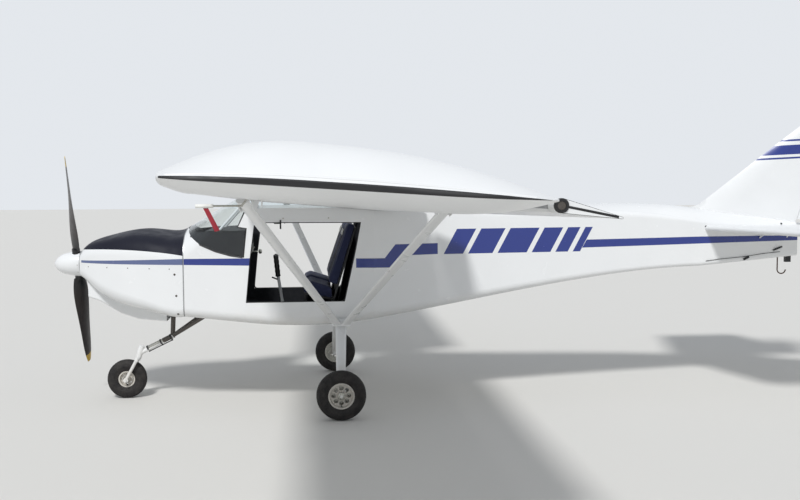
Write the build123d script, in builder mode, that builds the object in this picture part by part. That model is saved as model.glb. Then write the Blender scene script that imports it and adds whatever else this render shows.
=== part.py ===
# Two-seat high-wing microlight aircraft with strut-braced wings, a tractor propeller
# and a fixed nosewheel undercarriage. Lengths are in millimetres. +X points aft, +Y to
# starboard and +Z up. The ground is Z = 0, and a station is a distance aft of the
# spinner's tip. The origin lies on the ground under the middle of the length.
import os
from math import atan2, cos, radians, sin, sqrt, tan

from build123d import *

os.makedirs("parts", exist_ok=True)

# Overall placing
RUDDER_HINGE_FOOT = 5920      # station of the rudder's hinge line at its foot
RUDDER_HINGE_RAKE = 18        # degrees that the hinge line leans aft
TAIL_PLANE_HEIGHT = 1285      # height of the tailplane's mid plane
RUDDER_FOOT_HEIGHT = 1345
FIN_TOP_HEIGHT = 2200
RUDDER_FOOT_CHORD = 430
RUDDER_TOP_CHORD = 270


def rudder_hinge_station(height):
    """Station of the raked rudder hinge line at a height"""
    return RUDDER_HINGE_FOOT + (height - TAIL_PLANE_HEIGHT) * tan(radians(RUDDER_HINGE_RAKE))


OVERALL_LENGTH = rudder_hinge_station(FIN_TOP_HEIGHT) + RUDDER_TOP_CHORD


def at(station):
    """X of a station"""
    return station - OVERALL_LENGTH / 2


# Body
FIREWALL_STATION = 1030
FIREWALL_THICKNESS = 6
COWL_WALL = 6
SIDE_WALL = 20
FLOOR_WALL = 20
GLAZING = 4
CABIN_FRONT = FIREWALL_STATION + FIREWALL_THICKNESS
CABIN_ARCH = 1480             # station where the windscreen meets the roof
CABIN_REAR = 2420             # station of the bulkhead behind the seats
BULKHEAD_THICKNESS = 12
CABIN_HALF_WIDTH = 505
FLOOR_HALF_WIDTH = 430        # the floor panel runs between the rounded side panels

# Propeller and engine
THRUST_HEIGHT = 1051
PROPELLER_STATION = 173
PROPELLER_RADIUS = 860
BLADE_ANGLE = 20.5            # degrees from upright, the upper tip towards port
SPINNER_LENGTH = 205
SPINNER_RADIUS = 97
SPINNER_WALL = 3
HUB_RADIUS = 58
HUB_HALF_LENGTH = 32
SHANK_RADIUS = 30
SHANK_CLEARANCE = 1
SHAFT_RADIUS = 28
RUNNING_GAP = 0.3

# Wing
WING_ROOT = 505.3             # distance of the root rib from the centre line
WING_TIP_JOINT = 4300
WING_TIP = 4606
WING_LEAD = 1475              # station of the leading edge
WING_CHORD = 1325
WING_LEAD_HEIGHT = 1667       # at the tip joint
WING_TRAIL_HEIGHT = 1589      # at the tip joint
WING_DIHEDRAL = 1.4

# Flaperons, hung below and behind the wing
FLAPERON_STATION = 2839       # hinge line, at the middle of the round nose
FLAPERON_HEIGHT = 1572        # at the tip joint
FLAPERON_NOSE_RADIUS = 25
FLAPERON_TRAIL_STATION = 3058
FLAPERON_TRAIL_HEIGHT = 1527
FLAPERON_ROOT = 640
FLAPERON_TIP = 4290

# Hinges
HINGE_PIN_RADIUS = 4
HINGE_PLAY = 0.3
HINGE_EYE_RADIUS = 12
HINGE_PLATE = 6
HINGE_SLOT_SIDE = 6
HINGE_SLOT = (76, 90)         # length and height of the slot round a hinge plate
HINGE_SLOT_AHEAD = 18         # how far the slot's middle lies ahead of the hinge line
HINGE_ROOT = 14               # half height of a hinge plate where it is fixed
HINGE_PIN_HOLD = 10           # length of the pin held in the slot's two walls together
THIN_EDGE = 2.5               # half thickness of a control surface's trailing edge

# Undercarriage
MAIN_WHEEL_STATION = 2161
MAIN_TRACK = 1806
MAIN_TYRE_RADIUS = 175
MAIN_TYRE_WIDTH = 100
MAIN_RIM_RADIUS = 92
NOSE_WHEEL_STATION = 527
NOSE_TYRE_RADIUS = 150
NOSE_TYRE_WIDTH = 88
NOSE_RIM_RADIUS = 63
AXLE_RADIUS = 10
BEARING_PLAY = 0.05
STRUT_FOOT_STATION = 2176
STEER_RAKE = 18

FAR = 9000                    # reach of a cutting block, past the whole aircraft
PORT, STARBOARD = -1, 1
SIDES = (("left", PORT), ("right", STARBOARD))


def largest(builder):
    """The biggest solid that a cut has left"""
    return Compound(children=[builder.part.solids().sort_by(SortBy.VOLUME)[-1]])


def write(builder, label):
    """Label a finished piece and write its file"""
    builder.part.label = label
    export_step(builder.part, f"parts/{label}.step")


def tube(start, end, radius):
    """Round bar between two points"""
    line = end - start
    with BuildPart() as bar:
        with BuildSketch(Plane(origin=start, z_dir=line.normalized())):
            Circle(radius)
        extrude(amount=line.length)
    return bar.part


# Body sections: station, half width, bottom, top, bottom corner radius, shoulder radius
# and crown radius
COWL_SECTIONS = (
    (222, 150, 962, 1148, 60, 70, 500),
    (280, 205, 922, 1210, 80, 90, 700),
    (370, 268, 853, 1251, 95, 105, 900),
    (530, 345, 775, 1293, 100, 130, 1100),
    (770, 420, 720, 1315, 85, 165, 1200),
    (FIREWALL_STATION, 470, 681, 1327, 70, 190, 1300),
)
SCREEN_SECTIONS = (
    (CABIN_FRONT, 470, 681, 1330, 70, 190, 1300),
    (CABIN_ARCH, CABIN_HALF_WIDTH, 635, 1600, 70, 70, 3000),
)
CABIN_SECTIONS = (
    (CABIN_ARCH, CABIN_HALF_WIDTH, 635, 1600, 70, 70, 3000),
    (1850, CABIN_HALF_WIDTH, 609, 1668, 70, 70, 3000),
    (CABIN_REAR, CABIN_HALF_WIDTH, 648, 1604, 70, 70, 3000),
)
TAIL_SECTIONS = (
    (CABIN_REAR, CABIN_HALF_WIDTH, 648, 1604, 70, 70, 3000),
    (2760, 448, 698, 1520, 70, 40, 2500),
    (3866, 312, 880, 1474, 50, 40, 1080),
    (5040, 168, 985, 1446, 30, 30, 180),
)
TAIL_END_SECTION = (5895, 74, 1052, 1330, 20, 20, 76)


def body_section(row, wall=0):
    """Outline of the body across one station, drawn a wall's thickness inside the skin"""
    station, half_width, bottom, top, corner, shoulder, crown = row
    w, b, t = half_width - wall, bottom + wall, top - wall
    c, s, r = max(corner - wall, 8), max(shoulder - wall, 8), crown - wall
    middle = t - r
    rise = sqrt((r - s) ** 2 - (w - s) ** 2)
    side_top = middle + rise
    lean = atan2(rise, w - s)
    corner_mid = c * cos(radians(45))
    with BuildSketch(Plane.YZ.offset(at(station))) as section:
        with BuildLine():
            Line((-(w - c), b), (w - c, b))
            for side in (1, -1):
                ThreePointArc(
                    (side * (w - c), b),
                    (side * (w - c + corner_mid), b + c - corner_mid),
                    (side * w, b + c),
                )
                Line((side * w, b + c), (side * w, side_top))
                ThreePointArc(
                    (side * w, side_top),
                    (side * (w - s + s * cos(lean / 2)), side_top + s * sin(lean / 2)),
                    (side * r * cos(lean), middle + r * sin(lean)),
                )
            ThreePointArc(
                (r * cos(lean), middle + r * sin(lean)),
                (0, t),
                (-r * cos(lean), middle + r * sin(lean)),
            )
        make_face()
    return section.sketch


def body(rows, wall=0, ruled=False, front=0, rear=0):
    """Solid through the body sections, drawn inside the skin by wall"""
    rows = list(rows)
    rows[0] = (rows[0][0] + front, *rows[0][1:])
    rows[-1] = (rows[-1][0] + rear, *rows[-1][1:])
    return loft([body_section(row, wall) for row in rows], ruled=ruled)


def side_profile(points, reach=700):
    """Prism across the body, from an outline of stations and heights seen from the side"""
    with BuildPart() as prism:
        with BuildSketch(Plane.XZ):
            with BuildLine():
                Polyline(*[(at(station), height) for station, height in points], close=True)
            make_face()
        extrude(amount=reach, both=True)
    return prism.part


# Engine cowling: the shell is split along the edge between the dark top and white sides
COWL_EDGE = ((200, 1164), (560, 1176), (FIREWALL_STATION + 5, 1133))
INTAKE_OFFSET = 118           # middle of each cooling inlet from the centre line
INTAKE_SIZE = (44, 84)
SHAFT_HOLE_RADIUS = 62
cowl_outer = body(COWL_SECTIONS)
cowl_inner = body(COWL_SECTIONS, COWL_WALL, front=COWL_WALL, rear=10)

with BuildPart() as cowl_top_cutter:
    with BuildSketch(Plane.XZ):
        with BuildLine():
            edge = ThreePointArc(*[(at(station), height) for station, height in COWL_EDGE])
            Polyline(edge @ 1, (at(COWL_EDGE[2][0]), 1500), (at(COWL_EDGE[0][0]), 1500), edge @ 0)
        make_face()
    extrude(amount=700, both=True)

with BuildPart() as cowl_shell:
    add(cowl_outer)
    add(cowl_inner, mode=Mode.SUBTRACT)
    with BuildSketch(Plane.YZ.offset(at(COWL_SECTIONS[0][0] - 10))):
        with Locations((0, THRUST_HEIGHT)):
            Circle(SHAFT_HOLE_RADIUS)
        for side in (PORT, STARBOARD):
            with Locations((side * INTAKE_OFFSET, THRUST_HEIGHT)):
                SlotOverall(INTAKE_SIZE[1], INTAKE_SIZE[0], rotation=90)
    extrude(amount=40, mode=Mode.SUBTRACT)

with BuildPart() as cowl_upper:
    add(cowl_shell.part)
    add(cowl_top_cutter.part, mode=Mode.INTERSECT)
write(cowl_upper, "cowl_upper")

with BuildPart() as cowl_lower:
    add(cowl_shell.part)
    add(cowl_top_cutter.part, mode=Mode.SUBTRACT)
write(cowl_lower, "cowl_lower")

# Chin duct below the cowling, open at its front inlet and rear outlet
DUCT_HALF_WIDTH = 150
DUCT_WALL = 5
DUCT_BOTTOM = ((282, 806), (366, 776), (520, 680), (650, 634), (860, 612))
DUCT_TOP = ((860, 760), (366, 930), (282, 960))
DUCT_CORNER = 14
DUCT_REACH = 9                # how far the passage is cut past each open end


def duct_block(half_width, lift, reach, corner):
    """Solid along the duct with its two lower long edges rounded"""
    bottom, top = list(DUCT_BOTTOM), list(DUCT_TOP)
    bottom[0] = (bottom[0][0] - reach, bottom[0][1])
    bottom[-1] = (bottom[-1][0] + reach, bottom[-1][1])
    top[0] = (top[0][0] + reach, top[0][1])
    top[-1] = (top[-1][0] - reach, top[-1][1])
    with BuildPart() as block:
        with BuildSketch(Plane.XZ):
            with BuildLine():
                outline = [(at(station), height + lift) for station, height in bottom + top]
                Polyline(*outline, close=True)
            make_face()
        extrude(amount=half_width, both=True)
        lower = block.faces().filter_by(lambda f: f.normal_at().Z < -0.5).edges()
        fillet([e for e in lower if abs(abs(e.center().Y) - half_width) < 1], corner)
    return block


duct_passage = duct_block(
    DUCT_HALF_WIDTH - DUCT_WALL, DUCT_WALL, DUCT_REACH, DUCT_CORNER - DUCT_WALL
)
with BuildPart() as chin_duct:
    add(duct_block(DUCT_HALF_WIDTH, 0, 0, DUCT_CORNER).part)
    add(duct_passage.part, mode=Mode.SUBTRACT)
    add(cowl_outer, mode=Mode.SUBTRACT)
chin_duct.part = largest(chin_duct)
write(chin_duct, "chin_duct")

# Firewall and the engine, one block with its reduction drive and propeller shaft
with BuildPart() as firewall:
    extrude(body_section(SCREEN_SECTIONS[0]), amount=-FIREWALL_THICKNESS)
write(firewall, "firewall")

ENGINE_FRONT = 430
ENGINE_REAR = 900
ENGINE_HALF_WIDTH = 230
ENGINE_BOTTOM = 850
ENGINE_TOP = 1170
GEARBOX_RADIUS = 90
GEARBOX_FRONT = 300
GEARBOX_OVERLAP = 20
MOUNT_TUBE_RADIUS = 11
MOUNT_SPACING = (360, 200)

with BuildPart() as engine_block:
    with Locations(
        (
            at((ENGINE_FRONT + ENGINE_REAR) / 2),
            0,
            (ENGINE_BOTTOM + ENGINE_TOP) / 2,
        )
    ):
        Box(ENGINE_REAR - ENGINE_FRONT, 2 * ENGINE_HALF_WIDTH, ENGINE_TOP - ENGINE_BOTTOM)
    fillet(engine_block.edges(), 30)
    with BuildSketch(Plane.YZ.offset(at(GEARBOX_FRONT))):
        with Locations((0, THRUST_HEIGHT)):
            Circle(GEARBOX_RADIUS)
    extrude(amount=ENGINE_FRONT - GEARBOX_FRONT + GEARBOX_OVERLAP)
    with BuildSketch(Plane.YZ.offset(at(PROPELLER_STATION + HUB_HALF_LENGTH + RUNNING_GAP))):
        with Locations((0, THRUST_HEIGHT)):
            Circle(SHAFT_RADIUS)
    extrude(amount=GEARBOX_FRONT - PROPELLER_STATION - HUB_HALF_LENGTH)
    with BuildSketch(Plane.YZ.offset(at(ENGINE_REAR - GEARBOX_OVERLAP))):
        with GridLocations(*MOUNT_SPACING, 2, 2):
            with Locations((0, (ENGINE_BOTTOM + ENGINE_TOP) / 2)):
                Circle(MOUNT_TUBE_RADIUS)
    extrude(amount=FIREWALL_STATION - ENGINE_REAR + GEARBOX_OVERLAP)
write(engine_block, "engine_block")

# Propeller blades: radius, chord, thickness, pitch in degrees
BLADE_SECTIONS = (
    (115, 92, 34, 44),
    (260, 142, 24, 36),
    (520, 128, 15, 23),
    (800, 84, 9, 16),
    (PROPELLER_RADIUS, 46, 6, 14),
)
HUB = (at(PROPELLER_STATION), 0, THRUST_HEIGHT)
# Spinner outline and hollow: station and radius
SPINNER_PROFILE = ((0, 0), (34, 52), (90, 80), (147, 92), (SPINNER_LENGTH, SPINNER_RADIUS))
SPINNER_INSIDE = (
    (40, 42),
    (100, 76),
    (SPINNER_LENGTH - SPINNER_WALL, SPINNER_RADIUS - 2 * SPINNER_WALL),
)


def blade_plane(radius, turn, pitch):
    """Plane across a blade at a radius, its x axis along the chord"""
    up = Vector(0, -sin(radians(turn)), cos(radians(turn)))
    across = Vector(0, -cos(radians(turn)), -sin(radians(turn)))
    chord = Vector(sin(radians(pitch)), 0, 0) + across * cos(radians(pitch))
    return Plane(origin=Vector(*HUB) + up * radius, x_dir=chord, z_dir=up)


def blade_section(turn, radius, chord, thickness, pitch):
    """Outline across a blade: flat-bottomed, with a raised back"""
    with BuildSketch(blade_plane(radius, turn, pitch)) as section:
        with BuildLine():
            ThreePointArc((-chord / 2, 0), (-0.1 * chord, 0.62 * thickness), (chord / 2, 0))
            ThreePointArc((-chord / 2, 0), (0, -0.38 * thickness), (chord / 2, 0))
        make_face()
    return section.sketch


with BuildPart() as propeller:
    with BuildSketch(Plane.YZ.offset(at(PROPELLER_STATION - HUB_HALF_LENGTH))):
        with Locations((0, THRUST_HEIGHT)):
            Circle(HUB_RADIUS)
    extrude(amount=2 * HUB_HALF_LENGTH)
    for turn in (BLADE_ANGLE, BLADE_ANGLE + 180):
        with BuildSketch(blade_plane(0, turn, 0)):
            Circle(SHANK_RADIUS)
        extrude(amount=BLADE_SECTIONS[0][0] + 8)
        loft([blade_section(turn, *row) for row in BLADE_SECTIONS])
write(propeller, "propeller")

with BuildPart() as spinner:
    with BuildSketch(Plane.XZ):
        with BuildLine():
            nose, brow, shoulder, cheek, rim = [
                (at(station), THRUST_HEIGHT + radius) for station, radius in SPINNER_PROFILE
            ]
            ThreePointArc(nose, brow, shoulder)
            ThreePointArc(shoulder, cheek, rim)
            Polyline(rim, (rim[0], THRUST_HEIGHT), nose)
        make_face()
    revolve(axis=Axis((0, 0, THRUST_HEIGHT), (1, 0, 0)))
    for station, radius in SPINNER_INSIDE:
        with BuildSketch(Plane.YZ.offset(at(station))):
            with Locations((0, THRUST_HEIGHT)):
                Circle(radius)
    loft(mode=Mode.SUBTRACT)
    with BuildSketch(Plane.YZ.offset(at(SPINNER_LENGTH - SPINNER_WALL - 1))):
        with Locations((0, THRUST_HEIGHT)):
            Circle(HUB_RADIUS)
    extrude(amount=SPINNER_WALL + 2, mode=Mode.SUBTRACT)
    for turn in (BLADE_ANGLE, BLADE_ANGLE + 180):
        with BuildSketch(blade_plane(0, turn, 0)):
            Circle(SHANK_RADIUS + SHANK_CLEARANCE)
        extrude(amount=SPINNER_RADIUS + 20, mode=Mode.SUBTRACT)
write(spinner, "spinner")

# Cabin outlines seen from the side. The boot edge is where the clear windscreen meets
# the side panel, and the door opening leans aft as the door posts do.
BOOT_EDGE = (
    (1040, 1400),
    (1044, 1330),
    (1086, 1272),
    (1157, 1213),
    (1265, 1165),
    (1373, 1134),
    (1468, 1119),
)
POST_FRONT = (1495, 1334)
BARB = (1427, 1342)
STRIP_TOP = (1512, 1512)
SILL_HEIGHT = 787
DOOR_OPENING = (
    (1482, SILL_HEIGHT),
    (1515, 1116),
    (1548, 1352),
    (1600, 1375),
    (2328, 1371),
    (2290, 1166),
    (2205, SILL_HEIGHT),
)
SIDE_TOP = 1478               # top edge of the side panels, under the wing root
ABOVE_ROOF = 1750
BELOW_FLOOR = 500
BULKHEAD_TOP = 1510
FLOOR_BAND = (540, 780)       # heights between which the floor panel is cut from the tub
screen_outer = body(SCREEN_SECTIONS, ruled=True)
cabin_outer = body(CABIN_SECTIONS)
windscreen_zone = side_profile(
    BOOT_EDGE
    + (POST_FRONT, BARB, STRIP_TOP, (STRIP_TOP[0], ABOVE_ROOF), (BOOT_EDGE[0][0], ABOVE_ROOF))
)

with BuildPart() as windscreen:
    add(screen_outer)
    add(body(SCREEN_SECTIONS, GLAZING, ruled=True, front=-5, rear=5), mode=Mode.SUBTRACT)
    add(windscreen_zone, mode=Mode.INTERSECT)
write(windscreen, "windscreen")

with BuildPart() as tub:
    add(screen_outer)
    add(cabin_outer)
    add(body(SCREEN_SECTIONS, SIDE_WALL, ruled=True, front=-5, rear=0), mode=Mode.SUBTRACT)
    add(body(CABIN_SECTIONS, SIDE_WALL, rear=5), mode=Mode.SUBTRACT)
    add(windscreen_zone, mode=Mode.SUBTRACT)
    add(side_profile(DOOR_OPENING), mode=Mode.SUBTRACT)

side_space = side_profile(
    (
        (FIREWALL_STATION, BELOW_FLOOR),
        (CABIN_REAR, BELOW_FLOOR),
        (CABIN_REAR, SIDE_TOP),
        (CABIN_ARCH + 17, SIDE_TOP),
        (CABIN_ARCH - 100, BOOT_EDGE[0][1] + 20),
        (FIREWALL_STATION, BOOT_EDGE[0][1] + 20),
    )
)
for name, side in SIDES:
    with BuildPart() as side_panel:
        add(tub.part)
        add(side_space, mode=Mode.INTERSECT)
        with Locations((0, 0, SILL_HEIGHT / 2)):
            Box(FAR, 2 * FLOOR_HALF_WIDTH, SILL_HEIGHT, mode=Mode.SUBTRACT)
        with Locations((0, -side * FAR / 2, 0)):
            Box(FAR, FAR, FAR, mode=Mode.SUBTRACT)
    write(side_panel, f"side_panel_{name}")

with BuildPart() as floor_panel:
    add(tub.part)
    with Locations((at((CABIN_FRONT + CABIN_REAR) / 2), 0, sum(FLOOR_BAND) / 2)):
        Box(
            CABIN_REAR - CABIN_FRONT, 2 * FLOOR_HALF_WIDTH, FLOOR_BAND[1] - FLOOR_BAND[0],
            mode=Mode.INTERSECT,
        )
write(floor_panel, "floor_panel")

with BuildPart() as bulkhead:
    add(body(CABIN_SECTIONS, SIDE_WALL))
    with Locations((at(CABIN_REAR - BULKHEAD_THICKNESS / 2), 0, BULKHEAD_TOP / 2)):
        Box(BULKHEAD_THICKNESS, 4 * CABIN_HALF_WIDTH, BULKHEAD_TOP, mode=Mode.INTERSECT)
write(bulkhead, "bulkhead")

# Clear roof between the wing roots
ROOF_BAND = 400
with BuildPart() as roof_panel:
    add(cabin_outer)
    add(body(CABIN_SECTIONS, GLAZING, front=-5, rear=5), mode=Mode.SUBTRACT)
    with Locations((at((CABIN_ARCH + CABIN_REAR) / 2), 0, SIDE_TOP + ROOF_BAND / 2)):
        Box(CABIN_REAR - CABIN_ARCH, 4 * CABIN_HALF_WIDTH, ROOF_BAND, mode=Mode.INTERSECT)
    add(windscreen_zone, mode=Mode.SUBTRACT)
write(roof_panel, "roof_panel")

# Rear fuselage: a closed tapering body with flat sides and a rounded deck
with BuildPart() as rear_fuselage:
    add(body(TAIL_SECTIONS))
    add(loft([body_section(TAIL_SECTIONS[-1]), body_section(TAIL_END_SECTION)], ruled=True))
write(rear_fuselage, "rear_fuselage")

# Fin: an upright aerofoil whose leading edge sweeps up from the deck
FIN_THICKNESS = 50
FIN_ROOT_LEAD = 5060
FIN_SLOPE = 0.752             # rise of the leading edge for each millimetre aft
FIN_ROOT_HEIGHT = 1446
FIN_LOFT_FOOT = 1200          # height inside the body where the fin's loft starts
FIN_GAP = 7
FIN_CLEARANCE = 40            # height of the fin's foot above the tailplane's mid plane
DORSAL_HALF_THICKNESS = 7
# Web that curves from the deck into the fin's leading edge: station and height
DORSAL_CURVE = ((4975, 1448), (5072, 1464), (5150, 1514))
DORSAL_FOOT = (5150, 1400)
RUDDER_NOSE_RADIUS = 19


def fin_lead(height):
    """Station of the fin's leading edge at a height"""
    return FIN_ROOT_LEAD + (height - FIN_ROOT_HEIGHT) / FIN_SLOPE


def fin_section(height):
    """Fin's outline at a height, from its edge to the face before the rudder"""
    lead = at(fin_lead(height))
    trail = at(rudder_hinge_station(height)) - RUDDER_NOSE_RADIUS - FIN_GAP
    half = FIN_THICKNESS / 2
    fat = min(half, (trail - lead) / 4)
    with BuildSketch(Plane.XY.offset(height)) as section:
        with BuildLine():
            for side in (1, -1):
                ThreePointArc(
                    (lead, 0), (lead + 0.12 * (trail - lead), side * fat * 0.66),
                    (lead + 0.4 * (trail - lead), side * fat),
                )
                Line((lead + 0.4 * (trail - lead), side * fat), (trail, side * RUDDER_NOSE_RADIUS * 0.9))
            Line((trail, -RUDDER_NOSE_RADIUS * 0.9), (trail, RUDDER_NOSE_RADIUS * 0.9))
        make_face()
    return section.sketch


with BuildPart() as fin:
    loft([fin_section(FIN_LOFT_FOOT), fin_section(FIN_TOP_HEIGHT)], ruled=True)
    with BuildSketch(Plane.XZ):
        with BuildLine():
            web = ThreePointArc(*[(at(station), height) for station, height in DORSAL_CURVE])
            Polyline(web @ 1, (at(DORSAL_FOOT[0]), DORSAL_FOOT[1]), web @ 0)
        make_face()
    extrude(amount=DORSAL_HALF_THICKNESS, both=True)
    add(rear_fuselage.part, mode=Mode.SUBTRACT)
    with Locations((0, 0, (TAIL_PLANE_HEIGHT + FIN_CLEARANCE) / 2)):
        Box(FAR, FAR, TAIL_PLANE_HEIGHT + FIN_CLEARANCE, mode=Mode.SUBTRACT)
fin.part = largest(fin)
write(fin, "fin")

# Rudder
RAKE_DIR = Vector(sin(radians(RUDDER_HINGE_RAKE)), 0, cos(radians(RUDDER_HINGE_RAKE)))
RAKE_BACK = Vector(cos(radians(RUDDER_HINGE_RAKE)), 0, -sin(radians(RUDDER_HINGE_RAKE)))
AFT = Vector(1, 0, 0)
ACROSS = Vector(0, 1, 0)


def rudder_section(height, chord):
    """Rudder's outline at a height: round nose on the hinge line, thin trailing edge"""
    hinge = at(rudder_hinge_station(height))
    nose = RUDDER_NOSE_RADIUS
    with BuildSketch(Plane.XY.offset(height)) as section:
        with BuildLine():
            ThreePointArc((hinge, nose), (hinge - nose, 0), (hinge, -nose))
            tail = hinge + chord
            Polyline((hinge, nose), (tail, THIN_EDGE), (tail, -THIN_EDGE), (hinge, -nose))
        make_face()
    return section.sketch


RUDDER_HINGES = (1470, 1780, 2090)
RUDDER_HINGE_REACH = 60
slot_width = HINGE_PLATE + 2 * HINGE_SLOT_SIDE


def hinge_cut(centre, axis_dir, back, width):
    """Slot in a moving surface round one hinge plate"""
    plane = Plane(origin=centre, x_dir=back, z_dir=axis_dir)
    with BuildPart() as slot:
        with BuildSketch(plane.offset(-width / 2)):
            with Locations((-HINGE_SLOT_AHEAD, 0)):
                Rectangle(*HINGE_SLOT)
        extrude(amount=width)
    return slot.part


def hinge_pin(centre, axis_dir, back, length):
    """Pin that joins the two walls of a hinge slot"""
    with BuildPart() as pin:
        with BuildSketch(Plane(origin=centre, x_dir=back, z_dir=axis_dir).offset(-length / 2)):
            Circle(HINGE_PIN_RADIUS)
        extrude(amount=length)
    return pin.part


def hinge_plate(centre, axis_dir, back, reach):
    """Plate with an eye round the hinge pin, running forward to the fixed surface"""
    plane = Plane(origin=centre, x_dir=back, z_dir=axis_dir)
    with BuildPart() as plate:
        with BuildSketch(plane.offset(-HINGE_PLATE / 2)):
            Circle(HINGE_EYE_RADIUS)
            with BuildLine():
                Polyline(
                    (0, -HINGE_EYE_RADIUS), (-reach, -HINGE_ROOT), (-reach, HINGE_ROOT),
                    (0, HINGE_EYE_RADIUS), close=True,
                )
            make_face()
            Circle(HINGE_PIN_RADIUS + HINGE_PLAY, mode=Mode.SUBTRACT)
        extrude(amount=HINGE_PLATE)
    return plate.part


with BuildPart() as rudder:
    loft(
        [rudder_section(RUDDER_FOOT_HEIGHT, RUDDER_FOOT_CHORD),
         rudder_section(FIN_TOP_HEIGHT, RUDDER_TOP_CHORD)],
        ruled=True,
    )
    for height in RUDDER_HINGES:
        centre = Vector(at(rudder_hinge_station(height)), 0, height)
        add(hinge_cut(centre, RAKE_DIR, RAKE_BACK, slot_width), mode=Mode.SUBTRACT)
        add(hinge_pin(centre, RAKE_DIR, RAKE_BACK, slot_width + HINGE_PIN_HOLD))
write(rudder, "rudder")

with BuildPart() as rudder_hinges:
    for height in RUDDER_HINGES:
        centre = Vector(at(rudder_hinge_station(height)), 0, height)
        add(hinge_plate(centre, RAKE_DIR, RAKE_BACK, RUDDER_HINGE_REACH))
    add(fin.part, mode=Mode.SUBTRACT)
write(rudder_hinges, "rudder_hinges")

# Tailplane and elevator
TAIL_HALF_SPAN = 1280
TAIL_ROOT = 60
TAIL_LEAD = 5037              # station of the leading edge at the centre line
TAIL_SWEEP = 0.266
TAIL_THICKNESS = 36
ELEVATOR_HINGE = 5940
ELEVATOR_NOSE_RADIUS = 17
ELEVATOR_GAP = 7
ELEVATOR_ROOT_CHORD = 360
ELEVATOR_TIP_CHORD = 290
ELEVATOR_CUT_FOOT = 75        # inner edge of each half at the hinge line
ELEVATOR_CUT_SLOPE = 0.62     # how fast the inner edges open towards the trailing edge
ELEVATOR_HINGES = (130, 640, 1150)

tailplanes = {}
for name, side in SIDES:
    with BuildPart() as tailplane:
        with BuildSketch(Plane.XY.offset(TAIL_PLANE_HEIGHT - TAIL_THICKNESS / 2)):
            with BuildLine():
                rear = at(ELEVATOR_HINGE) - ELEVATOR_NOSE_RADIUS - ELEVATOR_GAP
                tip_lead = at(TAIL_LEAD + TAIL_SWEEP * TAIL_HALF_SPAN)
                Polyline(
                    (at(TAIL_LEAD + TAIL_SWEEP * TAIL_ROOT), side * TAIL_ROOT),
                    (tip_lead, side * TAIL_HALF_SPAN),
                    (rear, side * TAIL_HALF_SPAN),
                    (rear, side * TAIL_ROOT),
                    close=True,
                )
            make_face()
        extrude(amount=TAIL_THICKNESS)
        fillet(
            tailplane.edges().filter_by(
                lambda e: abs(abs(e.center().Y) - TAIL_HALF_SPAN / 2) < 60
                and e.center().X < at(5500)
                and abs(e.tangent_at(0.5).Y) > 0.5
            ),
            TAIL_THICKNESS / 2 - 0.5,
        )
        fillet(
            tailplane.edges().filter_by(
                lambda e: abs(abs(e.center().Y) - TAIL_HALF_SPAN) < 1
                and abs(e.tangent_at(0.5).X) > 0.9
            ),
            TAIL_THICKNESS / 2 - 3,
        )
        add(rear_fuselage.part, mode=Mode.SUBTRACT)
        add(fin.part, mode=Mode.SUBTRACT)
    tailplane.part = largest(tailplane)
    tailplanes[name] = tailplane.part
    write(tailplane, f"tailplane_{name}")


def elevator_section(offset, chord):
    """Elevator's outline at a distance from the centre line"""
    hinge = at(ELEVATOR_HINGE)
    nose = ELEVATOR_NOSE_RADIUS
    with BuildSketch(Plane.XZ.offset(-offset)) as section:
        with BuildLine():
            z = TAIL_PLANE_HEIGHT
            ThreePointArc((hinge, z + nose), (hinge - nose, z), (hinge, z - nose))
            tail = hinge + chord
            Polyline((hinge, z + nose), (tail, z + THIN_EDGE), (tail, z - THIN_EDGE), (hinge, z - nose))
        make_face()
    return section.sketch


with BuildPart() as elevator:
    for side in (PORT, STARBOARD):
        loft(
            [elevator_section(side * ELEVATOR_CUT_FOOT, ELEVATOR_ROOT_CHORD),
             elevator_section(side * TAIL_HALF_SPAN, ELEVATOR_TIP_CHORD)],
            ruled=True,
        )
    with BuildSketch(Plane.XY.offset(TAIL_PLANE_HEIGHT - 60)):
        with BuildLine():
            start = at(ELEVATOR_HINGE) + ELEVATOR_NOSE_RADIUS
            end = start + 500
            wide = ELEVATOR_CUT_FOOT + ELEVATOR_CUT_SLOPE * 500
            Polyline(
                (start, ELEVATOR_CUT_FOOT), (end, wide), (end, -wide),
                (start, -ELEVATOR_CUT_FOOT), close=True,
            )
        make_face()
    extrude(amount=120, mode=Mode.SUBTRACT)
    with BuildSketch(Plane.XZ.offset(-ELEVATOR_CUT_FOOT - 5)):
        with Locations((at(ELEVATOR_HINGE), TAIL_PLANE_HEIGHT)):
            Circle(14)
    extrude(amount=2 * ELEVATOR_CUT_FOOT + 10)
    for side in (PORT, STARBOARD):
        for offset in ELEVATOR_HINGES:
            centre = Vector(at(ELEVATOR_HINGE), side * offset, TAIL_PLANE_HEIGHT)
            add(hinge_cut(centre, ACROSS, AFT, slot_width), mode=Mode.SUBTRACT)
            add(hinge_pin(centre, ACROSS, AFT, slot_width + HINGE_PIN_HOLD))
write(elevator, "elevator")

with BuildPart() as elevator_hinges:
    for side in (PORT, STARBOARD):
        for offset in ELEVATOR_HINGES:
            centre = Vector(at(ELEVATOR_HINGE), side * offset, TAIL_PLANE_HEIGHT)
            reach = ELEVATOR_NOSE_RADIUS + ELEVATOR_GAP
            add(hinge_plate(centre, ACROSS, AFT, reach))
write(elevator_hinges, "elevator_hinges")

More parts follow.
